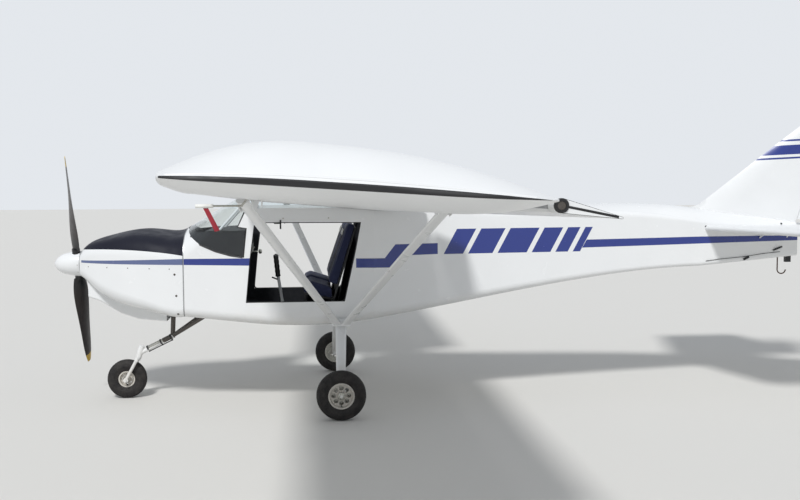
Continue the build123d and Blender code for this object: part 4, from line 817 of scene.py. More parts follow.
def arc(p0, p1, p2, count):
    """Points on the circle from p0 through p1 to p2, the last one left off"""
    (ax, ay), (bx, by), (cx, cy) = p0, p1, p2
    a, b, c = ax**2 + ay**2, bx**2 + by**2, cx**2 + cy**2
    d = 2 * (ax * (by - cy) + bx * (cy - ay) + cx * (ay - by))
    ux = (a * (by - cy) + b * (cy - ay) + c * (ay - by)) / d
    uy = (a * (cx - bx) + b * (ax - cx) + c * (bx - ax)) / d
    radius = math.hypot(ax - ux, ay - uy)
    start, through, end = (math.atan2(y - uy, x - ux) for x, y in (p0, p1, p2))
    sweep = (end - start) % (2 * math.pi)
    if (through - start) % (2 * math.pi) > sweep:
        sweep -= 2 * math.pi
    turns = [start + sweep * i / count for i in range(count)]
    return [(ux + radius * math.cos(turn), uy + radius * math.sin(turn)) for turn in turns]


# Wheels: node, body, centre station, offset, radius, tyre width and rim radius in millimetres
WHEELS = (
    ("main_tyre_left", "main_wheel_left", 2161, -903, 175, 100, 92),
    ("main_tyre_right", "main_wheel_right", 2161, 903, 175, 100, 92),
    ("nose_tyre", "nose_wheel", 527, 0, 150, 88, 63),
)
# Tyres: shares of half the width or of the sidewall's height, and sizes in metres
TREAD_SHARE, BEAD_SHARE, BELLY_SHARE = 0.62, 0.72, 0.45
TREAD_DROP = 0.005
GROOVES = (-0.45, -0.15, 0.15, 0.45)
GROOVE_DEPTH, GROOVE_FLOOR = 0.005, 0.6
SIDEWALL_STEPS = 14
# Steps of the sidewall that are drawn in, so that ribs stand between them, and how far
DRAWN_STEPS, RIB_HEIGHT = (4, 5, 9), 0.0012


class AddTyres(bpy.types.Operator):
    """Tyres with grooved treads and ribbed sidewalls"""

    bl_idname = "microlight.add_tyres"
    bl_label = "Tyres"

    def execute(self, context):
        for node, body, station, offset, radius, width, rim in WHEELS:
            radius, half, rim = radius / 1000, width / 2000, rim / 1000
            edge = TREAD_SHARE * half
            groove = sizes().groove_width / 2
            tread = [(-edge, radius - TREAD_DROP)]
            for share in GROOVES:
                middle = share * half
                top = radius - TREAD_DROP * (middle / edge) ** 2
                floor = top - GROOVE_DEPTH
                tread += [
                    (middle - groove, top), (middle - groove * GROOVE_FLOOR, floor),
                    (middle + groove * GROOVE_FLOOR, floor), (middle + groove, top),
                ]
            tread += [(edge, radius - TREAD_DROP)]
            belly = rim + (radius - rim) * BELLY_SHARE
            bead = half * BEAD_SHARE
            wall = arc((edge, radius - TREAD_DROP), (half - 0.0005, belly), (bead, rim + 0.001),
                       SIDEWALL_STEPS)[1:]
            right = []
            for index, (y, r) in enumerate(wall):
                right.append((y - (RIB_HEIGHT if index in DRAWN_STEPS else 0.0), r))
            right.append((bead, rim))
            left = [(-y, r) for y, r in reversed(right)]
            profile = [(r, y) for y, r in tread + right + left]
            tyre = turned(profile, spot(station, offset, radius * 1000), (0, 1, 0))
            settle(tyre, f"treaded_{node}", "tyre", body, smooth=28, replaces=(node,))
        return {"FINISHED"}


# Profiles of (radius, distance outwards) in metres, and the cap's place as a share of the width
CAP_PROFILE = ((0.0105, 0), (0.027, 0), (0.027, 0.004), (0.022, 0.009), (0.0105, 0.010))
DISC_PROFILE = ((0.04, 0), (0.082, 0), (0.082, -0.005), (0.04, -0.005))
CAP_SHARE = 0.36
HUB_NUTS, NUT_CIRCLE, NUT_OUT = 6, 0.022, 0.007
# Valve stem: distance outwards in metres, millimetres inside the rim, for each end
STEM_ENDS = ((0.012, 16), (0.034, 26))
DISC_INBOARD = 0.037
CALIPER_PLACE, CALIPER_SIZE = (0.058, 0.004, 0.05), (0.05, 0.03, 0.045)


class AddWheelDetail(bpy.types.Operator):
    """Hub caps, hub nuts, valve stems and brake discs"""

    bl_idname = "microlight.add_wheel_detail"
    bl_label = "Wheel detail"

    def execute(self, context):
        for node, body, station, offset, radius, width, rim in WHEELS:
            label = node.replace("_tyre", "")
            centre = spot(station, offset, radius)
            outward = 1 if offset > 0 else -1
            sides = (outward,) if offset else (-1, 1)
            parts = []
            for side in sides:
                reach = width * CAP_SHARE / 1000
                face = centre + Vector((0, side * reach, 0))
                parts.append(turned([(r, side * a) for r, a in CAP_PROFILE], face, (0, 1, 0), 48))
                nuts = []
                for index in range(HUB_NUTS):
                    angle = 2 * math.pi * (index + 0.5) / HUB_NUTS
                    along, up = NUT_CIRCLE * math.cos(angle), NUT_CIRCLE * math.sin(angle)
                    nut = centre + Vector((along, side * (reach + NUT_OUT), up))
                    nuts.append((nut, (0, side, 0)))
                parts.append(set_down(hex_bolt(0.0028, 0.003), nuts))
            settle(join(parts), f"{label}_hub_cap", "steel", body)
            foot, tip = (
                centre + Vector((0, outward * out, -(rim - inside) / 1000)) for out, inside in STEM_ENDS
            )
            settle(bar(foot, tip, 0.0035, 14, 0.0008), f"{label}_valve_stem", "trim", body)
            if offset:
                inner = centre - Vector((0, outward * DISC_INBOARD, 0))
                disc = turned([(r, outward * a) for r, a in DISC_PROFILE], inner, (0, 1, 0), 64)
                settle(disc, f"{label}_brake_disc", "steel", body)
                along, inboard, up = CALIPER_PLACE
                middle = inner + Vector((along, -outward * inboard, up))
                settle(block(middle, CALIPER_SIZE, 0.006), f"{label}_brake_caliper", "metal", ROOT)
        return {"FINISHED"}


# Cowling fasteners: station and height, small ones below the stripe and larger ones by the seam
SMALL_FASTENERS = ((303, 1044), (457, 1043), (619, 1042), (781, 1040), (930, 1038))
LARGE_FASTENERS = ((968, 998), (978, 842), (988, 706))
SEAM = (1027.6, 1029.2)
# Heads' radii as shares of the fastener radius
SMALL_HEAD, LARGE_HEAD = 0.6, 1.2
# Spinner screws: station and height of their ring's middle, the blades' angle in degrees, and
# the tenths of a turn from it at which screws sit
SCREW_RING = (192, 1051)
BLADE_ANGLE = 20.5
SCREW_STEPS = (1, 2, 3, 4, 6, 7, 8, 9)


class AddCowlDetail(bpy.types.Operator):
    """Fasteners, the seam behind the cowling and the spinner's screws"""

    bl_idname = "microlight.add_cowl_detail"
    bl_label = "Cowling detail"

    def execute(self, context):
        radius = sizes().fastener_radius
        small, large = [], []
        for _, side in SIDES:
            for table, places in ((SMALL_FASTENERS, small), (LARGE_FASTENERS, large)):
                for station, height in table:
                    outside = spot(station, side * BESIDE_CABIN, height)
                    point, normal = skin_point("cowl_lower", outside, (0, -side, 0))
                    places.append((point - normal * 0.0004, normal))
        heads = set_down(round_head(radius * SMALL_HEAD, 0.0018), small)
        settle(heads, "cowling_screws", "tube")
        heads = set_down(round_head(radius * LARGE_HEAD, 0.0026), large)
        settle(heads, "cowling_fasteners", "tube")
        seam = join([band(name, at(SEAM[0]), at(SEAM[1]), 0, 0.0003, 0.0006)
                     for name in ("cowl_lower", "cowl_upper")])
        settle(seam, "cowling_rear_seam", "trim")
        heads = []
        for step in SCREW_STEPS:
            angle = math.radians(90 + BLADE_ANGLE + 36 * step)
            away = Vector((0, math.cos(angle), math.sin(angle)))
            outside = spot(SCREW_RING[0], 0, SCREW_RING[1]) + away * 0.3
            point, normal = skin_point("spinner", outside, -away)
            heads.append((point - normal * 0.0003, normal))
        settle(set_down(round_head(0.004, 0.0012), heads), "spinner_screws", "steel", "propeller")
        return {"FINISHED"}


# Seat pads: node, the direction in which it rests, and how far the cloth may swell in metres
DOWN, BACKWARDS = (0, 0, -1), (0.955, 0, -0.297)
PADS = (
    ("seat_cushion_left", DOWN, 0.014), ("seat_cushion_right", DOWN, 0.014),
    ("seat_back_left", BACKWARDS, 0.012), ("seat_back_right", BACKWARDS, 0.012),
)
CLOTH_FRAMES = 20
# Cloth: how far it starts inside the seat, how far a resting face may settle, both in metres
START_INSIDE, SETTLE_DEPTH = 0.006, 0.005
RESTING_FACE = 0.6


def inflate(obj, cap, rest_direction):
    """Swell a pad as stuffed cloth under pressure, capped, flat where it rests"""
    pick(obj)
    bpy.ops.object.mode_set(mode="EDIT")
    bpy.ops.mesh.select_all(action="SELECT")
    bpy.ops.mesh.normals_make_consistent(inside=False)
    bpy.ops.transform.shrink_fatten(value=-START_INSIDE)
    bpy.ops.object.mode_set(mode="OBJECT")
    start = [v.co.copy() for v in obj.data.vertices]
    resting = [v.normal.dot(rest_direction) > RESTING_FACE for v in obj.data.vertices]
    cloth = obj.modifiers.new("cloth", "CLOTH")
    cloth.settings.use_pressure = True
    cloth.settings.uniform_pressure_force = 4
    cloth.settings.effector_weights.gravity = 0
    cloth.settings.quality = 5
    scene = bpy.context.scene
    for number in range(1, CLOTH_FRAMES + 1):
        scene.frame_set(number)
    pick(obj)
    bpy.ops.object.modifier_apply(modifier=cloth.name)
    for vertex, before, rests in zip(obj.data.vertices, start, resting):
        move = vertex.co - before
        if move.length > cap:
            move *= cap / move.length
        if rests:
            move -= rest_direction * max(0.0, move.dot(rest_direction) - SETTLE_DEPTH)
        vertex.co = before + move
    scene.frame_set(1)


class AddSeatPads(bpy.types.Operator):
    """Stuffed seat cushions and backrests, swelled by cloth simulation"""

    bl_idname = "microlight.add_seat_pads"
    bl_label = "Seat pads"

    def execute(self, context):
        for node, rest, cap in PADS:
            obj = copy_node(node)
            apply_modifier(obj, "REMESH", mode="VOXEL", voxel_size=0.009)
            inflate(obj, cap, Vector(rest))
            apply_modifier(obj, "SMOOTH", factor=0.5, iterations=4)
            apply_modifier(obj, "SUBSURF", levels=1, render_levels=1)
            settle(obj, f"padded_{node}", "seat", smooth=60, replaces=(node,))
        return {"FINISHED"}


# Edge of the clear screen on the side panels and the door opening, in stations and heights
SCREEN_EDGE = ((1048, 1326), (1086, 1272), (1157, 1213), (1265, 1165), (1373, 1134), (1462, 1120))
POST_EDGE = ((1469, 1121), (1493, 1331), (1430, 1341), (1493, 1474))
DOOR_EDGE = (
    (1482, 787), (1515, 1116), (1548, 1352), (1600, 1375), (2328, 1371), (2290, 1166), (2205, 787),
)
SEAL_OUT, SEAL_RADIUS, SEAL_CORNER = 497, 0.006, 0.028
BEAD_RADIUS = 0.0055
# Latch by the door's top: its two rods from one station and height to another, and their radii
LATCH_OUT = 507
LATCH_RODS = (((1741, 1391), (1741, 1325), 0.006), ((1694, 1367), (1745, 1367), 0.0045))
# Bolts of the door's hinges: stations, distance out and height
HINGE_STATIONS, HINGE_OUT, HINGE_HEIGHT = (1760, 2090), 504.6, 1400
FRONT_STRIP = (1036, 1048)


def cabin_skin(name, side, station, height):
    """Point on the cabin's outer skin at a station and height, looked for close round it"""
    for along, up in ((0, 0), (0, 4), (0, -4), (-4, 0), (4, 0)):
        origin = spot(station + along, side * BESIDE_CABIN, height + up)
        for node in ("windscreen", f"side_panel_{name}"):
            hit, where, _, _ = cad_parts[node].ray_cast(origin, Vector((0, -side, 0)))
            if hit and where.y * side > 0.1:
                return Vector((at(station), where.y - side * 0.001, height / 1000))
    raise RuntimeError(f"no cabin skin at {station}, {height}")


class AddCabinTrim(bpy.types.Operator):
    """Door seals, sealing strips round the windscreen, latch rods and hinge bolts"""

    bl_idname = "microlight.add_cabin_trim"
    bl_label = "Cabin trim"

    def execute(self, context):
        seals, beads, bolts = [], [], []
        for name, side in SIDES:
            edge = [spot(station, side * SEAL_OUT, height) for station, height in DOOR_EDGE]
            seals.append(rod_through(edge, SEAL_RADIUS, closed=True, corner=SEAL_CORNER))
            for table in (SCREEN_EDGE, POST_EDGE):
                points = [cabin_skin(name, side, *row) for row in table]
                beads.append(rod_through(points, BEAD_RADIUS))
            for start, end, radius in LATCH_RODS:
                start, end = (spot(station, side * LATCH_OUT, z) for station, z in (start, end))
                beads.append(bar(start, end, radius, edge=0.001))
            for station in HINGE_STATIONS:
                bolts.append((spot(station, side * HINGE_OUT, HINGE_HEIGHT), (0, side, 0)))
        settle(join(seals), "door_opening_seals", "trim")
        settle(join(beads), "windscreen_edge_beads", "trim")
        settle(set_down(hex_bolt(0.006, 0.004), bolts), "door_hinge_bolts", "steel")
        front = band("windscreen", at(FRONT_STRIP[0]), at(FRONT_STRIP[1]), 0, 0.0008, 0.0016)
        settle(front, "windscreen_front_strip", "trim")
        return {"FINISHED"}


# Lining, near black as painted shade of the cabin: a point that it faces, how squarely it does, its
# top, its gap and thickness in metres
CABIN_MIDDLE, FACING = (1900, 0, 1000), 0.12
SHADE_LINING_TOP = 1390
SHADE_LINING_GAP, SHADE_LINING_DEPTH = 0.0004, 0.0014
# Line on the side of the windscreen below which the dark cover shows, and below which the lining lays
# painted shade over the clear screen: station and height
COVER_LINE = ((1048, 1300), (1469, 1318))


def faces_cabin(middle, normal):
    """Whether a face looks into the cabin below the lining's top"""
    inward = spot(*CABIN_MIDDLE) - middle
    return inward.normalized().dot(normal) > FACING and middle.z < SHADE_LINING_TOP / 1000


class AddCabinPaintedShadeLining(bpy.types.Operator):
    """Dark lining inside the side panels, floor, bulkhead and foot of the windscreen, laid as painted
    shade of the cabin
    """

    bl_idname = "microlight.add_cabin_lining"
    bl_label = "Cabin lining"

    def execute(self, context):
        top = (spot(0, 0, SHADE_LINING_TOP), (0, 0, 1))
        (front, low), (rear, high) = COVER_LINE
        slope = (spot(front, 0, low), (-(high - low), 0, rear - front))
        parts = []
        for name, plane in (
            ("side_panel_left", top), ("side_panel_right", top), ("floor_panel", top),
            ("bulkhead", top), ("windscreen", slope),
        ):
            # Each patch is a dark sheet of painted shade laid over the skin's inner faces
            parts.append(cut_patch(name, [plane], faces_cabin, SHADE_LINING_GAP, SHADE_LINING_DEPTH))
        settle(join(parts), "cabin_painted_shade_lining", "painted_shade_lining", smooth=30)
        return {"FINISHED"}


# Control stick: station and height of the grip's foot and top, and of the brake lever
GRIP_FOOT, GRIP_TOP = (1700, 935), (1684, 1100)
LEVER_ROOT, LEVER_TIP = (1703, 905), (1652, 926)
# Grip: radius and depth of the finger rests in metres, and their count
GRIP_RADIUS, FINGER_DEPTH, FINGERS = 0.0195, 0.0012, 4
GRIP_STEPS = 16
BUTTON_PROFILE = ((0.0, 0.0), (0.007, 0.0), (0.007, 0.004), (0.0, 0.006))


class AddStickDetail(bpy.types.Operator):
    """Moulded grip with finger rests, transmit button and brake lever"""

    bl_idname = "microlight.add_stick_detail"
    bl_label = "Control stick"

    def execute(self, context):
        foot, top, root, tip = (
            spot(station, 0, height) for station, height in (GRIP_FOOT, GRIP_TOP, LEVER_ROOT, LEVER_TIP)
        )
        axis = (top - foot).normalized()
        length = (top - foot).length
        profile = [(0.0, -0.004), (0.0185, -0.004)]
        for step in range(GRIP_STEPS + 1):
            share = step / GRIP_STEPS
            wave = FINGER_DEPTH * math.cos(share * 2 * FINGERS * math.pi)
            profile.append((GRIP_RADIUS + wave, share * length * 0.92))
        profile += [(0.0185, length), (0.012, length + 0.004), (0.0, length + 0.005)]
        grip = turned(profile, foot, axis, 40)
        button = turned(BUTTON_PROFILE, top + axis * 0.004, axis, 24)
        lever = bar(root, tip, 0.006, 14, 0.0015)
        settle(join([grip, button, lever]), "stick_grip", "trim", smooth=50)
        return {"FINISHED"}


# Shoulder straps: middle of a seat, each strap's offset from it, the heights at which they lie
# on the backrest, the stations at which they cross its top, and the anchor behind it
SEAT_MIDDLE = 245
STRAP_SHIFTS = (-85, 85)
STRAP_HEIGHTS = (985, 1030, 1090, 1150, 1210, 1270, 1320)
STRAP_CROSSING = (2242, 2262)
STRAP_ANCHOR = (2312, 1300)
STRAP_LIFT, STRAP_WIDTH = 0.003, 0.045
BUCKLE_HEIGHT, BUCKLE_SIZE = 1290, (0.006, 0.054, 0.042)
# Where rays look for the pad: a station ahead of it and a height above it
AHEAD_OF_PAD, ABOVE_PAD = 1700, 1600


class AddSeatBelts(bpy.types.Operator):
    """Shoulder straps and buckles lying on the padded seats"""

    bl_idname = "microlight.add_seat_belts"
    bl_label = "Seat belts"

    def execute(self, context):
        straps, buckles = [], []
        for name, side in SIDES:
            pad = bpy.data.objects[f"padded_seat_back_{name}"]
            for shift in STRAP_SHIFTS:
                out = side * SEAT_MIDDLE + shift
                points = []
                for height in STRAP_HEIGHTS:
                    ahead = spot(AHEAD_OF_PAD, out, height)
                    hit, where, normal, _ = pad.ray_cast(ahead, Vector((1, 0, 0)))
                    if hit:
                        points.append(where + normal * STRAP_LIFT)
                for station in STRAP_CROSSING:
                    above = spot(station, out, ABOVE_PAD)
                    hit, where, normal, _ = pad.ray_cast(above, Vector((0, 0, -1)))
                    if hit:
                        points.append(where + normal * STRAP_LIFT)
                points.append(spot(STRAP_ANCHOR[0], out, STRAP_ANCHOR[1]))
                straps.append(strap(points, STRAP_WIDTH))
                ahead = spot(AHEAD_OF_PAD, out, BUCKLE_HEIGHT)
                hit, where, _, _ = pad.ray_cast(ahead, Vector((1, 0, 0)))
                if hit:
                    middle = where - Vector((BUCKLE_SIZE[0], 0, 0))
                    buckles.append(block(middle, BUCKLE_SIZE, 0.002, (0, 0.3, 0)))
        settle(join(straps), "shoulder_straps", "webbing", smooth=50)
        settle(join(buckles), "strap_buckles", "steel")
        return {"FINISHED"}


# Dials on the instrument panel: distance to starboard, height, radius, needle angle in degrees
DIALS = (
    (-300, 1215, 40, 40), (-205, 1215, 40, 300), (-110, 1215, 40, 200), (-300, 1135, 28, 120),
    (-205, 1135, 28, 250), (-110, 1135, 28, 20), (60, 1215, 34, 310), (145, 1215, 34, 60),
    (230, 1215, 34, 150), (315, 1215, 34, 230),
)
PANEL_FACE = 1485
BOARD_MIDDLE, BOARD_SIZE = 1196, (0.004, 0.80, 0.175)
TICKS, TICK_FROM, TICK_TO = 12, 0.78, 0.93
NEEDLE_BACK, NEEDLE_TO = 0.2, 0.72
# Switches: count, the first one's distance to starboard, pitch, heights of root and tip
SWITCHES, SWITCH_FIRST, SWITCH_PITCH, SWITCH_ROOT, SWITCH_TIP = 6, 40, 50, 1140, 1146
# Throttle: distance to starboard and height, and its knob's profile of radius and depth
THROTTLE = (-20, 1130)
KNOB_PROFILE = ((0.0, 0.0), (0.014, 0.002), (0.019, 0.012), (0.014, 0.024), (0.0, 0.027))
# Compass: station and height of its foot block and of its bowl
COMPASS_FOOT, COMPASS_BOWL = (1440, 1326), (1432, 1352)
BOWL_PROFILE = ((0.0, 0), (0.03, 0), (0.036, 0.012), (0.03, 0.03), (0.0, 0.034))


def clock_hand(angle):
    """Direction across a dial at an angle in radians from the top, as the pilot sees it"""
    return Vector((0, math.sin(angle), math.cos(angle)))


class AddInstruments(bpy.types.Operator):
    """Dials with bezels, ticks and needles, switches, throttle and compass"""

    bl_idname = "microlight.add_instruments"
    bl_label = "Instruments"

    def execute(self, context):
        bezels, faces, marks, knobs = [], [], [], []
        board = block(spot(PANEL_FACE + 2, 0, BOARD_MIDDLE), BOARD_SIZE, 0.0015)
        settle(board, "instrument_board", "dark_metal")
        front = PANEL_FACE + 4
        for y, z, r, angle in DIALS:
            centre = spot(front, y, z)
            r /= 1000
            ring = [(r, 0), (r + 0.007, 0), (r + 0.006, 0.004), (r + 0.001, 0.006), (r, 0.003)]
            bezels.append(turned(ring, centre, (1, 0, 0), 48))
            disc = [(0.0, 0.0005), (r, 0.0005), (r, 0.0015), (0.0, 0.0015)]
            faces.append(turned(disc, centre, (1, 0, 0), 40))
            raised = centre + Vector((0.0018, 0, 0))
            for index in range(TICKS):
                away = clock_hand(2 * math.pi * index / TICKS)
                start, end = (raised + away * r * share for share in (TICK_FROM, TICK_TO))
                marks.append(bar(start, end, 0.0008, 6))
            raised = centre + Vector((0.0028, 0, 0))
            away = clock_hand(math.radians(angle))
            start, end = (raised + away * r * share for share in (-NEEDLE_BACK, NEEDLE_TO))
            marks.append(bar(start, end, 0.0013, 6))
        for index in range(SWITCHES):
            across = SWITCH_FIRST + SWITCH_PITCH * index
            root, tip = spot(front, across, SWITCH_ROOT), spot(front + 16, across, SWITCH_TIP)
            knobs.append(bar(root, tip, 0.004, 12, 0.001))
        knobs.append(bar(spot(front, *THROTTLE), spot(front + 66, *THROTTLE), 0.005, 14))
        knobs.append(turned(KNOB_PROFILE, spot(front + 64, *THROTTLE), (1, 0, 0), 28))
        settle(join(bezels), "dial_bezels", "trim")
        settle(join(faces), "dial_faces", "dial")
        settle(join(marks), "dial_ticks_and_needles", "cover")
        settle(join(knobs), "switches_and_throttle", "steel")
        foot = block(spot(COMPASS_FOOT[0], 0, COMPASS_FOOT[1]), (0.06, 0.07, 0.03), 0.008)
        bowl = spot(COMPASS_BOWL[0], 0, COMPASS_BOWL[1])
        settle(join([foot, turned(BOWL_PROFILE, bowl, (1, 0, 0), 32)]), "compass", "trim")
        return {"FINISHED"}


# Pedals: pilots' middles, pedals' shifts from them, station and height of the pedals' foot and
# top, half the width of a pedal in metres and of the cross bar in millimetres
PILOTS, PEDAL_SHIFTS = (-245, 245), (-75, 75)
PEDAL_FOOT, PEDAL_TOP, CROSS_BAR_HEIGHT = (1180, 705), (1215, 860), 706
HALF_PEDAL, HALF_CROSS_BAR = 0.045, 130


class AddPedals(bpy.types.Operator):
    """Rudder pedals in the footwell"""

    bl_idname = "microlight.add_pedals"
    bl_label = "Rudder pedals"

    def execute(self, context):
        parts = []
        for middle in PILOTS:
            for shift in PEDAL_SHIFTS:
                foot = spot(PEDAL_FOOT[0], middle + shift, PEDAL_FOOT[1])
                top = spot(PEDAL_TOP[0], middle + shift, PEDAL_TOP[1])
                across = Vector((0, HALF_PEDAL, 0))
                parts.append(bar(foot, top, 0.009, 16))
                parts.append(bar(top - across, top + across, 0.011, 18, 0.003))
            ends = (spot(PEDAL_FOOT[0], middle + out, CROSS_BAR_HEIGHT)
                    for out in (-HALF_CROSS_BAR, HALF_CROSS_BAR))
            parts.append(bar(*ends, 0.011, 18))
        settle(join(parts), "rudder_pedals", "dark_metal")
        return {"FINISHED"}


# Rim moulded round the outer edge of a wing tip
TIP_RIM_STATIONS = (1530, 1600, 1700, 1850, 2000, 2150, 2300, 2450, 2580, 2680)
TIP_RIM_OFFSET = 4590
TIP_RIM_RADIUS = 0.006
# Strips round the wing: name, finish, CAD node, distances out, lift and depth in metres
WING_STRIPS = (
    ("wing_tip_seams", "trim", "wing_tip", 4.301, 4.309, 0.0006, 0.0012),
    ("wing_tip_rims", "plain", "wing", 4.272, 4.300, 0.0008, 0.0016),
    ("wing_root_strips", "trim", "wing", 0.5056, 0.522, 0.0008, 0.0016),
)
EDGE_LINES = ("wing_tip_edge_lines", "trim", "wing_tip", 4.6015, 4.61, 0.0003, 0.0012)
# Fuel cap: station, distance out, and its profile of radius and depth
CAP_PLACE = (1980, 760)
FUEL_CAP_PROFILE = (
    (0.0, 0.0), (0.042, 0.0), (0.042, 0.003), (0.03, 0.006), (0.028, 0.016), (0.024, 0.018),
    (0.0, 0.018),
)


def add_strips(label, finish, node, near, far, lift, depth):
    """The same strip on both wings or tips, between two distances out"""
    strips = []
    for name, side in SIDES:
        low, high = sorted((side * near, side * far))
        strips.append(band(f"{node}_{name}", low, high, 1, lift, depth))
    settle(join(strips), label, finish)


class AddWingDetail(bpy.types.Operator):
    """Edge rims, seams and rims of the tips, strips at the roots, and fuel caps"""

    bl_idname = "microlight.add_wing_detail"
    bl_label = "Wing detail"

    def execute(self, context):
        for row in WING_STRIPS:
            add_strips(*row)
        caps, edges = [], []
        for name, side in SIDES:
            above = spot(CAP_PLACE[0], side * CAP_PLACE[1], ABOVE_WING)
            point, normal = skin_point(f"wing_{name}", above, (0, 0, -1))
            caps.append(turned(FUEL_CAP_PROFILE, point - normal * 0.001, normal, 48))
            rim = []
            for station in TIP_RIM_STATIONS:
                above = spot(station, side * TIP_RIM_OFFSET, ABOVE_WING)
                point, normal = skin_point(f"wing_tip_{name}", above, (0, 0, -1))
                rim.append(point - normal * TIP_RIM_RADIUS * 0.4)
            edges.append(rod_through(rim, TIP_RIM_RADIUS, sides=14))
        settle(join(caps), "fuel_caps", "metal")
        settle(join(edges), "wing_tip_edge_rims", "plain")
        add_strips(*EDGE_LINES)
        return {"FINISHED"}


# Flaperon ends at the tip joint: the round nose's middle, the trailing edge, the nose's radius
FLAPERON_NOSE, FLAPERON_TRAIL = (2839, 1572), (3050, 1529)
FLAPERON_RADIUS = 25
FLAPERON_TIP = 4290
END_STRIP = 9
# Ring and plug on the nose: shares of its radius, and distances outwards in metres
RING_PROFILE = ((0.62, 0.0), (1.04, 0.0), (1.04, 0.004), (0.98, 0.006), (0.62, 0.006))
PLUG_PROFILE = ((0.0, 0.0), (0.6, 0.0), (0.6, 0.003), (0.0, 0.0035))
# Bar along the end: its middle and length as shares of the chord
RIB_MIDDLE, RIB_LENGTH = 0.54, 0.86


def faces_round(_, normal):
    """Whether a face lies round the flaperon and not on its end"""
    return abs(normal.y) < 0.5


class AddFlaperonDetail(bpy.types.Operator):
    """Black edge strips, end bars and tube rings at the flaperons' outer ends"""

    bl_idname = "microlight.add_flaperon_detail"
    bl_label = "Flaperon ends"

    def execute(self, context):
        r = FLAPERON_RADIUS / 1000
        for name, side in SIDES:
            inner = (Vector((0, side * (FLAPERON_TIP - END_STRIP) / 1000, 0)), (0, -side, 0))
            strip = cut_patch(f"flaperon_{name}", [inner], faces_round, 0.0002, 0.0012)
            nose, trail = (
                spot(station, side * FLAPERON_TIP, height)
                for station, height in (FLAPERON_NOSE, FLAPERON_TRAIL)
            )
            chord = trail - nose
            lean = math.atan2(-chord.z, chord.x)
            size = (chord.length * RIB_LENGTH, 0.002, 0.009)
            rib = block(nose + chord * RIB_MIDDLE, size, 0.0008, (0, lean, 0))
            ring = [(r * share, side * out) for share, out in RING_PROFILE]
            ring = turned(ring, nose, (0, 1, 0), 56)
            settle(join([strip, rib, ring]), f"flaperon_end_{name}", "trim", f"flaperon_{name}")
            plug = [(r * share, side * out) for share, out in PLUG_PROFILE]
            plug = turned(plug, nose, (0, 1, 0), 40)
            settle(plug, f"flaperon_tube_plug_{name}", "tube", f"flaperon_{name}")
        return {"FINISHED"}


# Bolts of the strut's foot block as station, distance out and height; bolts through the head
# plates as distances from each strut's head along the chord and up
STRUT_BOLTS = ((2118, 541, 634), (2236, 541, 634))
STRUT_HEADS = ((1648, 1550), (2640, 1522))
HEAD_BOLTS = ((-62, -4), (-20, -2), (30, -28))
# Where rays look for the head plates, in millimetres, and how far they reach in metres
BESIDE_HEADS, HEAD_REACH = 3100, 0.4


class AddStrutDetail(bpy.types.Operator):
    """Bolts at the struts' feet and through their heads"""

    bl_idname = "microlight.add_strut_detail"
    bl_label = "Strut detail"

    def execute(self, context):
        places = []
        for _, side in SIDES:
            for station, out, height in STRUT_BOLTS:
                places.append((spot(station, side * out, height), (0, side, 0)))
        settle(set_down(hex_bolt(0.007, 0.006), places), "strut_foot_bolts", "steel")
        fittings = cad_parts["strut_fittings"]
        places = []
        for _, side in SIDES:
            inwards = Vector((0, -side, 0))
            for station, height in STRUT_HEADS:
                for along, up in HEAD_BOLTS:
                    outside = spot(station + along, side * BESIDE_HEADS, height + up)
                    hit, where, normal, _ = fittings.ray_cast(outside, inwards, distance=HEAD_REACH)
                    if hit:
                        places.append((where - normal * 0.0003, normal))
        settle(set_down(hex_bolt(0.0055, 0.005), places), "strut_head_bolts", "steel")
        return {"FINISHED"}


# Nose leg: station and height of its apex, of its long tube's head and of its upright's top,
# and the mounts' station, distance out and height
LEG_APEX, LEG_HEAD, UPRIGHT_TOP = (880, 478), (628, 357), (893, 740)
LEG_MOUNT = (1185, 290, 680)
# Dark tubes from the apex: share of the way that is dark, and radius in metres
SLEEVE, MOUNT_TUBE, UPRIGHT = (0.3, 0.0195), (0.93, 0.0152), (0.96, 0.0182)
# Clamps on the long tube: share of the way from apex to head, radius in metres
LEG_CLAMPS = ((0.06, 0.0225), (0.36, 0.0205), (0.76, 0.0205))
CLAMP_BORE, HALF_CLAMP = 0.0165, 0.006
# Bolts of the clamps and the guide rod: distances below the tube's middle in metres
CLAMP_BOLT, ROD_DROP = (0.014, 0.033), 0.028
BARE_TUBE, BARE_RADIUS = (0.28, 0.74), 0.0174


